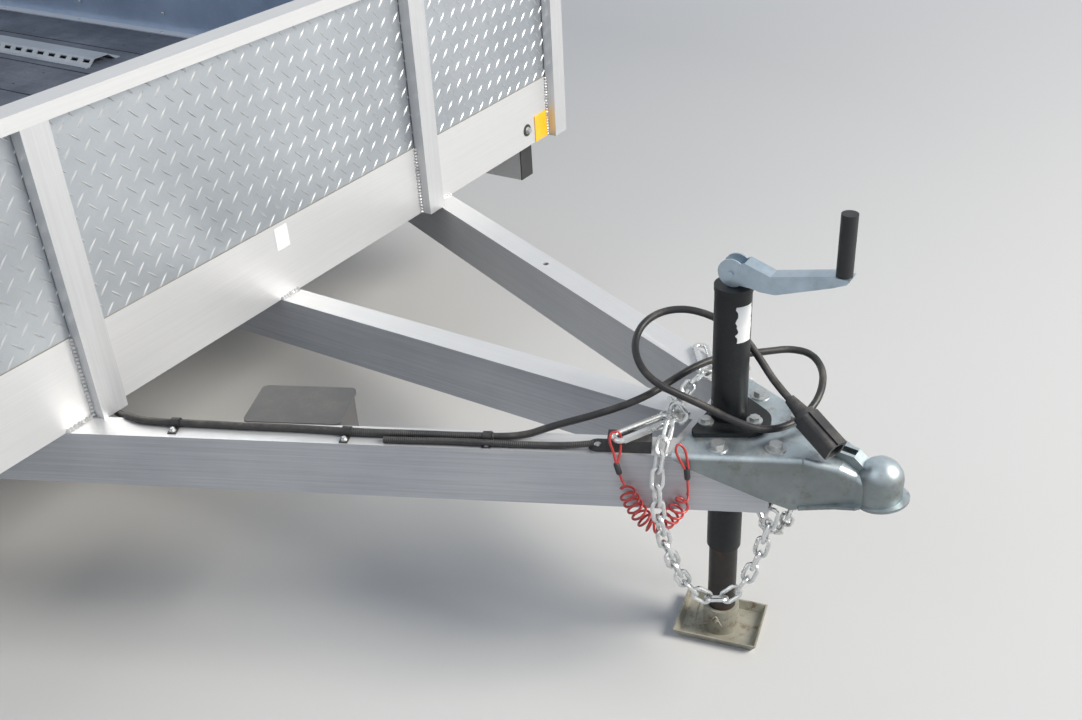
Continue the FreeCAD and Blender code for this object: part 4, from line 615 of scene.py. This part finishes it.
# %% The free cord
CORD_DIAMETER = 12
CORD_ROUTE = (
    (-220, -643, 6.4), (-202, -678.3, 6.4), (-168, -713, 17), (-137, -762, 32), (-112, -807, 50),
    (-77, -839, 62), (-32, -855, 68), (16, -869, 70), (58, -889, 70), (92, -921, 68), (122, -952, 66),
    (150, -980, 64), (158, -1015, 60), (133, -1044, 50), (95, -1057, 40), (60, -1058, 29), (27, -1048, 20),
    (-6, -1031, 17), (-34, -1003, 22), (-45, -965, 35), (-51, -926, 50), (-65, -890, 68), (-79, -856, 86),
    (-76, -824, 104), (-52, -798, 123), (-13, -788, 139), (25, -801, 149), (50, -832, 152), (55, -872, 150),
    (50, -910, 143), (44, -944, 130), (31, -975, 108), (16, -1007, 82), (3, -1037.5, 68),
)


def spline_curve(name, points, diameter, look):
    """A round cord on a smooth line through open air, with the points as its control points."""
    curve = bpy.data.curves.new(name, "CURVE")
    curve.dimensions = "3D"
    line = curve.splines.new("NURBS")
    line.points.add(len(points) - 1)
    for point, control in zip(points, line.points):
        control.co = (*point, 1)
    line.order_u = 3
    line.use_endpoint_u = True
    curve.resolution_u = 8
    curve.bevel_depth = diameter * MM / 2
    curve.bevel_resolution = 5
    curve.use_fill_caps = True
    return hang(name, curve, look, "frame")


cord = spline_curve("free_cord", spots(CORD_ROUTE), CORD_DIAMETER, "cord_jacket")
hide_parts("trailer_cord")
print("free cord of", len(CORD_ROUTE), "control points")

# %% [markdown]
# Many pieces are a round bar swept along a line: chain links, weld beads, the ridges of a loom. One
# function lays rings of points across the line and joins them. Another makes a smooth line from a few
# given points, as the cord's own curve does.

# %% Sweeping a ring along a line
def along_path(path, up, closed=False):
    """Each point of a path with two directions across it, which turn as little as can be."""
    path = np.array([tuple(point) for point in path])
    ahead = np.roll(path, -1, axis=0) - np.roll(path, 1, axis=0)
    if not closed:
        ahead[0], ahead[-1] = path[1] - path[0], path[-1] - path[-2]
    ahead /= np.linalg.norm(ahead, axis=1)[:, None]
    side, rows = np.array(up, float), []
    for here, way in zip(path, ahead):
        side = side - way * side.dot(way)
        side /= np.linalg.norm(side)
        rows.append((here, side, np.cross(way, side)))
    return rows


def ring_faces(count, sides, closed=False):
    """Faces from each ring of points to the next, with a cap at each end unless the bar closes on itself."""
    last = (count - 1) * sides
    faces = [] if closed else [tuple(reversed(range(sides))), tuple(range(last, last + sides))]
    for k in range(count if closed else count - 1):
        low, high = k * sides, (k + 1) % count * sides
        faces += [(low + i, low + (i + 1) % sides, high + (i + 1) % sides, high + i) for i in range(sides)]
    return faces


def swept(path, radii, sides=8, up=(0.1, 0.2, 1.0), closed=False):
    """Points and faces of a bar along a path, one radius for each of its points."""
    turn = np.linspace(0, 2 * math.pi, sides, endpoint=False)
    rings = [here + radius * (np.cos(turn)[:, None] * side + np.sin(turn)[:, None] * other)
             for (here, side, other), radius in zip(along_path(path, up, closed), radii)]
    return np.concatenate(rings), ring_faces(len(path), sides, closed)


def smooth_line(points, steps=6):
    """The quadratic B-spline of given points, from the first of them to the last."""
    joints = [points[0]] + [(a + b) / 2 for a, b in zip(points[1:], points[2:-1])] + [points[-1]]
    line = [points[0]]
    for start, control, end in zip(joints, points[1:-1], joints[1:]):
        for k in range(1, steps + 1):
            t = k / steps
            line.append(start * (1 - t) ** 2 + control * 2 * t * (1 - t) + end * t ** 2)
    return line


def even_line(line, step):
    """The same line with its points an even step apart."""
    line = np.array([tuple(point) for point in line])
    reach = np.concatenate([[0], np.cumsum(np.linalg.norm(np.diff(line, axis=0), axis=1))])
    places = np.linspace(0, reach[-1], max(2, int(round(reach[-1] / step)) + 1))
    return [Vector([np.interp(place, reach, line[:, axis]) for axis in range(3)]) for place in places]


def joined(parts):
    """Several lots of points and faces as one."""
    points, faces, shift = [], [], 0
    for more_points, more_faces in parts:
        points.append(np.asarray(more_points))
        faces += [tuple(i + shift for i in face) for face in more_faces]
        shift += len(more_points)
    return np.concatenate(points), faces


def clouds_of(name):
    """The corner points of each solid in a node."""
    mesh = bmesh.new()
    mesh.from_mesh(nodes[name].data)
    bmesh.ops.remove_doubles(mesh, verts=mesh.verts, dist=1e-6)
    mesh.transform(nodes[name].matrix_world)
    left, found = set(mesh.verts), []
    while left:
        edge, part = [left.pop()], []
        while edge:
            vert = edge.pop()
            part.append(tuple(vert.co))
            near = {link.other_vert(vert) for link in vert.link_edges} & left
            left -= near
            edge += near
        found.append(np.array(part))
    mesh.free()
    return found


print("sweeping helpers are ready")

# %% [markdown]
# Treadplate has slim lens-shaped lugs in two families, each one a low ridge. One family leans right on the
# crossings of a grid, and the other leans left in the middle of its cells. On a fender the grid's rows
# follow the arch.

# %% Lugs of the treadplate
LUG_ACROSS, LUG_UP, LUG_HEIGHT, LUG_SINK, LUG_LEAN = 38.6, 36.4, 1.5, 0.1, math.radians(45)
LUG_RIM = ((-14.5, 0), (-7.5, -1.6), (0, -2.2), (7.5, -1.6), (14.5, 0), (7.5, 1.6), (0, 2.2), (-7.5, 1.6))
LUG_RIDGE = ((-10, 0), (0, 0), (10, 0))
LUG_FACES = (
    (0, 1, 8), (1, 2, 9, 8), (2, 3, 10, 9), (3, 4, 10), (4, 5, 10), (5, 6, 9, 10), (6, 7, 8, 9), (7, 0, 8),
)
LUG = np.array([(u, v, -LUG_SINK) for u, v in LUG_RIM] + [(u, v, LUG_HEIGHT) for u, v in LUG_RIDGE]) * MM


def lug_field(name, length, width, place):
    """Lugs over a sheet; place turns a spot on it, in mm, into a point and the sheet's three directions."""
    parts = []
    columns, rows = int(length / LUG_ACROSS), int(width / LUG_UP)
    for k in range(columns * rows * 2):
        column, row, family = k // (2 * rows), k // 2 % rows, k % 2
        shift, lean = (0.75, -LUG_LEAN) if family else (0.25, LUG_LEAN)
        point, along, across, out = place((column + shift) * length / columns, (row + shift) * width / rows)
        first = along * math.cos(lean) + across * math.sin(lean)
        second = across * math.cos(lean) - along * math.sin(lean)
        ways = np.array([tuple(first), tuple(second), tuple(out)])
        parts.append((LUG @ ways + np.array(tuple(point)), LUG_FACES))
    return piece(name, *joined(parts), "lug_metal", slot="treadplate")


X_WAY, Y_WAY, Z_WAY = Vector((1, 0, 0)), Vector((0, 1, 0)), Vector((0, 0, 1))
low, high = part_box("front_sheet")
lug_field("lugs_front", (high.x - low.x) / MM, (high.z - low.z) / MM, lambda u, v: (
    Vector((low.x + u * MM, low.y, low.z + v * MM)), X_WAY, Z_WAY, -Y_WAY))
for side, sign in (("left", -1), ("right", 1)):
    low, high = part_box("side_sheet_" + side)
    face = low.x if sign < 0 else high.x
    lug_field("lugs_" + side, (high.y - low.y) / MM, (high.z - low.z) / MM, lambda u, v: (
        Vector((face, low.y + u * MM, low.z + v * MM)), Y_WAY, Z_WAY, X_WAY * sign))

ARCH_RADIUS, ARCH_RISE, AXLES, AXLE_HEIGHT = 394.5, 60, (1728.0, 2592.0), -111.5
ARCH_FOOT = math.asin(ARCH_RISE / ARCH_RADIUS)
QUARTER, FLAT = ARCH_RADIUS * (math.pi / 2 - ARCH_FOOT), AXLES[1] - AXLES[0]


def over_arch(distance):
    """A fender's line from its front foot: y, z and the upward direction there."""
    if distance < QUARTER:
        turn, centre = math.pi - ARCH_FOOT - distance / ARCH_RADIUS, AXLES[0]
    elif distance > QUARTER + FLAT:
        turn, centre = math.pi / 2 - (distance - QUARTER - FLAT) / ARCH_RADIUS, AXLES[1]
    else:
        turn, centre = math.pi / 2, AXLES[0] + distance - QUARTER
    out = Vector((0, math.cos(turn), math.sin(turn)))
    return centre + ARCH_RADIUS * out.y, AXLE_HEIGHT + ARCH_RADIUS * out.z, out


for side in ("left", "right"):
    low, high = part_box("fender_" + side)

    def on_fender(u, v):
        y, z, out = over_arch(u)
        point = spot(0, y, z)
        point.x = low.x + v * MM
        return point, out.cross(X_WAY), X_WAY, out

    lug_field("lugs_fender_" + side, 2 * QUARTER + FLAT, (high.x - low.x) / MM, on_fender)
print("lugs are set every", LUG_ACROSS, "by", LUG_UP, "mm")

# %% [markdown]
# The frame's tyres have flat facets to keep them light. Here each gets a round section with four grooves
# and notched shoulders, turned about the middle of the frame's own tyre.

# %% Round tyres with tread
TREAD = (
    (0, 331.5), (11, 331.5), (13, 324.5), (20, 324.5), (22, 331.5), (46, 331.2), (48, 324), (55, 324),
    (57, 330.8), (72, 330), (80, 326), (86, 318), (92, 300), (98, 280), (101, 258), (99, 238), (92, 218),
    (84, 203), (76, 194), (70, 190), (66, 179),
)
NOTCHED, NOTCH, TYRE_STEPS, TYRE_CREASE = (8, 9, 10), 5.0, 160, math.radians(30)
half = [(u, r, k) for k, (u, r) in enumerate(TREAD)]
section = [(-u, r, k) for u, r, k in reversed(half)] + half[1:]
for wheel in ("front_left", "front_right", "rear_left", "rear_right"):
    low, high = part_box("tyre_" + wheel)
    centre = (low + high) / 2
    points, faces = [], []
    for step in range(TYRE_STEPS):
        turn = 2 * math.pi * step / TYRE_STEPS
        for u, r, k in section:
            if k in NOTCHED and step % 4 == (0 if u > 0 else 2):
                r -= NOTCH
            points.append(centre + Vector((u, r * math.sin(turn), r * math.cos(turn))) * MM)
        here, there = step * len(section), (step + 1) % TYRE_STEPS * len(section)
        faces += [(here + k, here + k + 1, there + k + 1, there + k) for k in range(len(section) - 1)]
    tyre = piece("treaded_tyre_" + wheel, points, faces, "tyre_rubber", "wheel_" + wheel, "tyre", TYRE_CREASE)
    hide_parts("tyre_" + wheel)
print("four tyres of", TYRE_STEPS, "steps")

# %% [markdown]
# Chain links in the frame are eight-cornered rings. Each is found again as one loose part of its node's
# mesh, and its middle and three directions give the place for a round link of the same size.

# %% Round chain links
WIRE, ROUND_WIRE, LINK_STEPS = 6.35 * MM, 7.0 * MM, 24


def link_place(cloud):
    """A link's middle, its three directions and its extents, longest first."""
    ways = np.linalg.svd(cloud - cloud.mean(axis=0))[2]
    spans = (cloud - cloud.mean(axis=0)) @ ways.T
    middle = cloud.mean(axis=0) + ((spans.max(axis=0) + spans.min(axis=0)) / 2) @ ways
    return middle, ways, np.ptp(spans, axis=0)


def round_link(middle, ways, length, width):
    """A link of round wire: two half circles and the straight runs between them."""
    bend, reach = width / 2, (length - width) / 2
    line = []
    for step in range(LINK_STEPS):
        turn = 2 * math.pi * (step + 0.5) / LINK_STEPS
        u = bend * math.cos(turn) + (reach if math.cos(turn) > 0 else -reach)
        line.append(middle + ways[0] * u + ways[1] * bend * math.sin(turn))
    return swept(line, [ROUND_WIRE / 2] * LINK_STEPS, 8, ways[2], closed=True)


for side in ("left", "right"):
    parts = [round_link(middle, ways, spans[0] - WIRE, spans[1] - WIRE)
             for middle, ways, spans in map(link_place, clouds_of("safety_chain_" + side))]
    chain = piece("round_chain_" + side, *joined(parts), "bright_zinc", slot="zinc")
    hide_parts("safety_chain_" + side)
    print("chain", side, "has", len(parts), "links")

# %% [markdown]
# More chain lies loose: a heap on the left tube behind the hook, and a run across to the right tube. Its
# links sit along given lines, each turned a quarter from the one before.

# %% Loose chain
LINK_PITCH, LINK_LENGTH, LINK_WIDTH = 27.0, 33.4 * MM, 18.5 * MM
HEAP = (
    (-84, -878, 30), (-70, -862, 22), (-52, -858, 13), (-42, -872, 13), (-52, -890, 18), (-68, -893, 28),
    (-60, -876, 38), (-44, -866, 32),
)
FAR_RUN = ((-30, -860, 14), (0, -850, 6), (30, -845, 2), (62, -842, 0), (95, -848, 8), (106, -856, 10))
HOOK_LINK, HOOK_TILT, TILTS = ((-106, -886, 27), (24, 4, 21)), math.radians(70), (-40, 50)


def laid_link(middle, ahead, tilt):
    """A link lying along a direction and turned about it."""
    ahead = Vector(ahead).normalized()
    side = Z_WAY.cross(ahead).normalized()
    across = side * math.cos(tilt) + ahead.cross(side) * math.sin(tilt)
    ways = np.array([tuple(ahead), tuple(across), tuple(ahead.cross(across))])
    return round_link(np.array(tuple(middle)), ways, LINK_LENGTH, LINK_WIDTH)


parts = [laid_link(spot(*HOOK_LINK[0]), HOOK_LINK[1], HOOK_TILT)]
for route in (HEAP, FAR_RUN):
    line = even_line(smooth_line(spots(route)), LINK_PITCH * MM)
    for k, here in enumerate(line):
        ahead = line[min(k + 1, len(line) - 1)] - line[max(k - 1, 0)]
        parts.append(laid_link(here, ahead, math.radians(TILTS[k % 2])))
piece("loose_chain", *joined(parts), "bright_zinc", slot="zinc")
print("loose chain of", len(parts), "links")

# %% [markdown]
# Bolts, washers, rivets and ferrules are turned pieces: a few radii along an axis. With six sides instead
# of many, the same function makes a hex head.

# %% Turned pieces
WASHER = ((0, 1.0), (0.8, 1.0), (1.0, 0.93))
HEX_HEAD = ((0, 1.0), (0.75, 1.0), (1.0, 0.88))
DOME_HEAD = ((0, 1.0), (0.45, 0.93), (0.8, 0.66), (1.0, 0.3))
WASHER_THICK, HEAD_SHARE, CORNER_SHARE = 1.6, 0.6, 0.577


def lathe(profile, foot, out, length, radius, sides=24):
    """A round piece on a foot in metres; the profile's rows are shares of its length and radius in mm."""
    out = Vector(out).normalized()
    side = out.orthogonal().normalized()
    other = out.cross(side)
    points = []
    for along, share in profile:
        for k in range(sides):
            turn = 2 * math.pi * k / sides
            arm = side * math.cos(turn) + other * math.sin(turn)
            points.append(foot + (out * along * length + arm * share * radius) * MM)
    return points, ring_faces(len(profile), sides)


def bolt(foot, out, flat, washer):
    """A hex head, flat mm across its flats, on a washer of the given radius."""
    seat = foot + Vector(out) * WASHER_THICK * MM
    return joined([lathe(WASHER, foot, out, WASHER_THICK + 0.2, washer),
                   lathe(HEX_HEAD, seat, out, HEAD_SHARE * flat, CORNER_SHARE * flat, 6)])


print("turned pieces are ready")

# %% [markdown]
# A weld bead on aluminium looks like a row of coins laid down, so a bar is swept along the seam and its
# radius swells at each coin. The posts have a bead down each side on the rails, and the tongue's tubes have
# one where they pass under the front rail.

# %% Weld beads
COIN, COIN_STEPS, BEAD_RADIUS, SEAM_RADIUS, WANDER = 7.0, 4, 6.4, 6.8, 0.25
TONGUE_SEAMS = ((-541, -486), (-25.4, 25.4), (486, 541))
shake = random.Random(11)


def bead(start, end, radius=BEAD_RADIUS):
    """A row of coins from one place to another."""
    count = max(6, int((end - start).length / (COIN * MM))) * COIN_STEPS
    path, radii = [], []
    for k in range(count + 1):
        swell = abs(math.sin(math.pi * k / COIN_STEPS))
        drift = Vector([shake.uniform(-WANDER, WANDER) * MM for _ in range(3)])
        path.append(start.lerp(end, k / count) + drift)
        radii.append(radius * MM * (0.5 + 0.5 * swell if 0 < k < count else 0.35))
    return swept(path, radii, 8)


def upright_bead(x, y):
    return bead(Vector((x, y, rail_low.z)), Vector((x, y, rail_high.z)))


rail_low, rail_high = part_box("front_rail")
beads = [bead(spot(first, 0, 0), spot(last, 0, 0), SEAM_RADIUS) for first, last in TONGUE_SEAMS]
for cloud in clouds_of("front_posts"):
    beads += [upright_bead(x, front_face) for x in (cloud[:, 0].min(), cloud[:, 0].max())
              if abs(x) < rail_high.x - MM]
piece("welds_front", *joined(beads), "weld_metal", slot="mill_aluminium")
for side, end in (("left", 0), ("right", 1)):
    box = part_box("side_rail_" + side)
    face, last = box[end].x, box[1].y
    beads = []
    for cloud in clouds_of("side_posts_" + side):
        beads += [upright_bead(face, y) for y in (cloud[:, 1].min(), cloud[:, 1].max())
                  if front_face + MM < y < last - MM]
    piece("welds_" + side, *joined(beads), "weld_metal", slot="mill_aluminium")
print("weld beads follow the posts and the tongue's tubes")

# %% [markdown]
# The breakaway cable is a thin red cord, wound into a curl that hangs in a bow between two black ferrules.
# The curl is the cord's own spline, with a point every eighth of a turn round the bow's middle line. Its
# turns lean so that they hang nearly level at both ends of the bow. Past each ferrule the cable goes round
# in a loop, one of them through the snap hook's eye.

# %% The breakaway cable
JACKET, FERRULE_LENGTH, FERRULE_RADIUS = 4.2, 18.0, 4.8
FERRULE = ((0, 0.8), (0.08, 1), (0.92, 1), (1, 0.8))
CURL_TURNS, CURL_STEPS, CURL_RADIUS, CURL_LEAN, CURL_TAPER = 14, 8, 13.2, 0.7, 12
CURL_ROUTE = (
    (-176, -843, -40), (-172.5, -851, -64), (-168, -861, -90), (-161, -876, -118), (-152.5, -895, -122),
    (-145, -911, -106), (-139, -924, -82), (-134, -935.5, -56),
)
CABLE_LOOPS = (
    ((-178.5, -834.5, -8), (-175.5, -829, 10), (-173.5, -819.5, 28), (-166, -819, 39),
     (-156.5, -829.5, 38), (-159.2, -832.6, 26), (-169, -836.5, 4), (-179, -835.5, -8)),
    ((-136.5, -930.5, -12), (-140, -923, 6), (-140, -915, 21), (-132, -916, 30), (-128, -925, 22),
     (-132, -932, 6), (-133.8, -935, -12)),
)

middle = smooth_line(spots(CURL_ROUTE), CURL_TURNS * CURL_STEPS // (len(CURL_ROUTE) - 2))
swing = CURL_RADIUS * MM / math.cos(math.pi / CURL_STEPS)
curl = []
for k, (here, side, other) in enumerate(along_path(middle, (0.1, 0.2, 1.0))):
    share = k / (len(middle) - 1)
    turn = 2 * math.pi * CURL_TURNS * share
    arm = swing * min(1.0, CURL_TAPER * share, CURL_TAPER * (1 - share))
    way = np.cross(side, other) + np.array((0, 0, CURL_LEAN * (2 * share - 1)))
    way /= np.linalg.norm(way)
    side = side - way * side.dot(way)
    side /= np.linalg.norm(side)
    other = np.cross(way, side)
    curl.append(Vector(here + arm * (math.cos(turn) * side + math.sin(turn) * other)))
loops, ferrules, ends = [], [], []
for rows, near in zip(CABLE_LOOPS, (curl[0], curl[-1])):
    line = smooth_line(spots(rows), 8)
    loops.append(swept(line, [JACKET * MM / 2] * len(line), 10))
    foot = (line[0] + line[-1]) / 2
    down = (near - foot).normalized()
    ferrules.append(lathe(FERRULE, foot - down * 2 * MM, down, FERRULE_LENGTH + 2, FERRULE_RADIUS, 20))
    ends.append(foot + down * (FERRULE_LENGTH - 1) * MM)
cable = spline_curve("red_cable", [ends[0]] + curl + [ends[1]], JACKET, "red_jacket")
piece("cable_loops", *joined(loops), "red_jacket")
piece("cable_ferrules", *joined(ferrules), "black_plastic")
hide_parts("breakaway_cable")
print("red cable of", CURL_TURNS, "turns")

# %% [markdown]
# A corrugated sleeve covers the harness from its second clip on, and the lead to the switch. It is a bar
# whose radius rises and falls every three millimetres.

# %% Corrugated loom
LOOM_PITCH, LOOM_STEPS, LOOM_DEPTH = 3.2, 4, 1.0
SLEEVES = (
    (6.1, ((-322, -420.7, 6.4), (-309, -454, 6.4), (-277, -520, 6.4), (-247, -590, 6.4), (-222, -639, 6.4))),
    (4.6, ((-311, -486, 5.2), (-296, -520, 5.2), (-268, -578, 6.8), (-244, -634, 6.8), (-221, -682, 5.2),
           (-200, -727, 5.2), (-184, -762, 7), (-170, -790, 11))),
)
parts = []
for radius, rows in SLEEVES:
    line = even_line(smooth_line(spots(rows), 12), LOOM_PITCH / LOOM_STEPS * MM)
    radii = [(radius + LOOM_DEPTH * (k % LOOM_STEPS in (1, 2))) * MM for k in range(len(line))]
    parts.append(swept(line, radii, 14))
piece("loom_sleeves", *joined(parts), "black_plastic", crease=math.radians(60))
print("loom ridges every", LOOM_PITCH, "mm")

# %% [markdown]
# Small fasteners: a bolt through each clip's foot, a rivet in the switch's tab, and the bolt on the rail's
# face with its dark washer.

# %% Fasteners
CLIP_BOLTS = ((-452.6, -158), (-337.9, -427.1), (-242, -637.5))
SWITCH_EYE, RAIL_BOLT = (-159.9, -791.6), (872, 43)
parts = [bolt(spot(x, y, 2), Z_WAY, flat=7, washer=5.5) for x, y in CLIP_BOLTS]
parts.append(lathe(DOME_HEAD, spot(*SWITCH_EYE, 2), Z_WAY, length=4.5, radius=6.5))
parts.append(bolt(spot(RAIL_BOLT[0], -1.6, RAIL_BOLT[1]), -Y_WAY, flat=13, washer=9))
piece("small_bolts", *joined(parts), "bolt_zinc", slot="zinc")
washer = lathe(WASHER, spot(RAIL_BOLT[0], 0, RAIL_BOLT[1]), -Y_WAY, length=2.2, radius=15, sides=32)
piece("rail_washer", *washer, "black_plastic")
print("small fasteners are set")

# %% [markdown]
# In the bed, dark screws hold each board to each joist, and rows of domed heads hold the side rails' lips
# and the linings. Joists and boards are read from the frame, so that the screws stay with them.

# %% Screws of the bed
SCREW_ROWS, SCREW_STEP, FIRST_SCREW, BOARD_EDGE = 9, 387.0, 233.0, 45 * MM
LIP_SCREW, LINING_SCREW = (966.0, 113.0), (983.9, 165.0)
deck_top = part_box("deck_boards")[1].z
parts = []
for joist in clouds_of("floor_joists"):
    for board in clouds_of("deck_boards"):
        for x in (board[:, 0].min() + BOARD_EDGE, board[:, 0].max() - BOARD_EDGE):
            foot = Vector((x, joist[:, 1].mean(), deck_top))
            parts.append(lathe(WASHER, foot, Z_WAY, length=0.7, radius=3.5, sides=8))
piece("deck_screws", *joined(parts), "greasy_steel")
parts = []
for sign in (-1, 1):
    for y in (FIRST_SCREW + k * SCREW_STEP for k in range(SCREW_ROWS)):
        for (x, z), out in ((LIP_SCREW, Z_WAY), (LINING_SCREW, -X_WAY * sign)):
            parts.append(lathe(DOME_HEAD, spot(sign * x, y, z), out, length=2.5, radius=5.5, sides=12))
piece("bed_screws", *joined(parts), "bolt_zinc", slot="zinc")
print("the bed's screws are set")

# %% [markdown]
# A bent wire clip holds the foot's pin: it comes round the collar from behind, and its bow hooks over the
# pin's end. It moves with the jack's leg.

# %% The foot's wire clip
FOOT_WIRE = (
    (-1, -902, -401), (-12, -901, -410), (-27, -901.5, -436), (-29, -912, -432), (-31.5, -926, -420),
    (-34.3, -933, -411), (-35.3, -940, -399), (-35.1, -945.4, -391), (-34.2, -949.6, -400),
    (-31.8, -955, -413),
)
WIRE_RADIUS, PIN_FOOT, PIN_WAY = 1.3, (-30, -944.7, -406.6), (-0.99, -0.146, 0)
line = smooth_line(spots(FOOT_WIRE), 8)
clip = swept(line, [WIRE_RADIUS * MM] * len(line), 8)
pin = lathe(DOME_HEAD, spot(*PIN_FOOT), PIN_WAY, length=6, radius=4.5, sides=16)
piece("foot_clip", *joined([clip, pin]), "yellow_zinc", "jack_leg")
print("the foot's clip is set")

# %% [markdown]
# Two blank labels stay as plain white patches: a small one on the front rail, and a torn one bent round the
# jack's tube. Dirt fills the seam between the rail's top edge and the sheet.

# %% Blank labels and the seam's dirt
RAIL_LABEL = ((-11, 99), (23, 99), (23, 145), (-11, 145))
LABEL_TURNS, LABEL_RISE, LABEL_ROWS, LABEL_COLUMNS, LABEL_RADIUS = (-148, -85), (158, 220), 14, 12, 28.9
JACK_PLACE = -940
piece("rail_label", [spot(x, -0.3, z) for x, z in RAIL_LABEL], [(0, 1, 2, 3)], "white_label",
      slot="wheel_silver")
tear, points = random.Random(5), []
for k in range(LABEL_ROWS + 1):
    z = LABEL_RISE[0] + (LABEL_RISE[1] - LABEL_RISE[0]) * k / LABEL_ROWS
    first, last = LABEL_TURNS[0] + tear.uniform(0, 10), LABEL_TURNS[1] - tear.uniform(0, 5)
    for j in range(LABEL_COLUMNS + 1):
        turn = math.radians(first + (last - first) * j / LABEL_COLUMNS)
        points.append(spot(LABEL_RADIUS * math.cos(turn), JACK_PLACE + LABEL_RADIUS * math.sin(turn), z))
wide = LABEL_COLUMNS + 1
faces = [(a, a + 1, a + 1 + wide, a + wide)
         for k in range(LABEL_ROWS) for a in range(k * wide, k * wide + LABEL_COLUMNS)]
piece("jack_label", points, faces, "white_label", slot="wheel_silver")
low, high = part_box("front_sheet")
seam = [Vector((x, (low.y + front_face) / 2, rail_high.z + 0.4 * MM)) for x in (low.x, high.x)]
piece("seam_dirt", *swept(seam, [0.9 * MM] * 2, 6), "seam_dust", slot="greasy_steel")
print("labels and the seam's dirt are set")

# %% [markdown]
# A plain pale floor catches the shadow. Some metres away it fades into the backdrop's colour for camera and
# mirror rays, so that no edge shows. It is a stage piece, not part of the trailer.

# %% Floor
FLOOR_REACH, FLOOR_TONE, FADE_START, FADE_END = 30.0, (0.62, 0.62, 0.61), 3.2, 7.5
floor_mesh = bpy.data.meshes.new("floor")
corners = [(x * FLOOR_REACH, y * FLOOR_REACH, 0) for x, y in ((-1, -1), (1, -1), (1, 1), (-1, 1))]
floor_mesh.from_pydata(corners, [], [(0, 1, 2, 3)])
floor = bpy.data.objects.new("floor", floor_mesh)
tree, inputs = finish("floor_plain", Roughness=0.9, Base_Color=FLOOR_TONE)
here = put(tree, "ShaderNodeNewGeometry").outputs["Position"]
away = put(tree, "ShaderNodeVectorMath", {0: here}, operation="LENGTH").outputs["Value"]
share = product(tree, plain_to_eye(tree), remap(tree, away, FADE_START, FADE_END))
output = next(node for node in tree.nodes if node.type == "OUTPUT_MATERIAL")
lit = output.inputs["Surface"].links[0].from_socket
tree.links.new(plain_over(tree, "ShaderNodeEmission", share, lit), output.inputs["Surface"])
floor_mesh.materials.append(finishes["floor_plain"])
scene.collection.objects.link(floor)
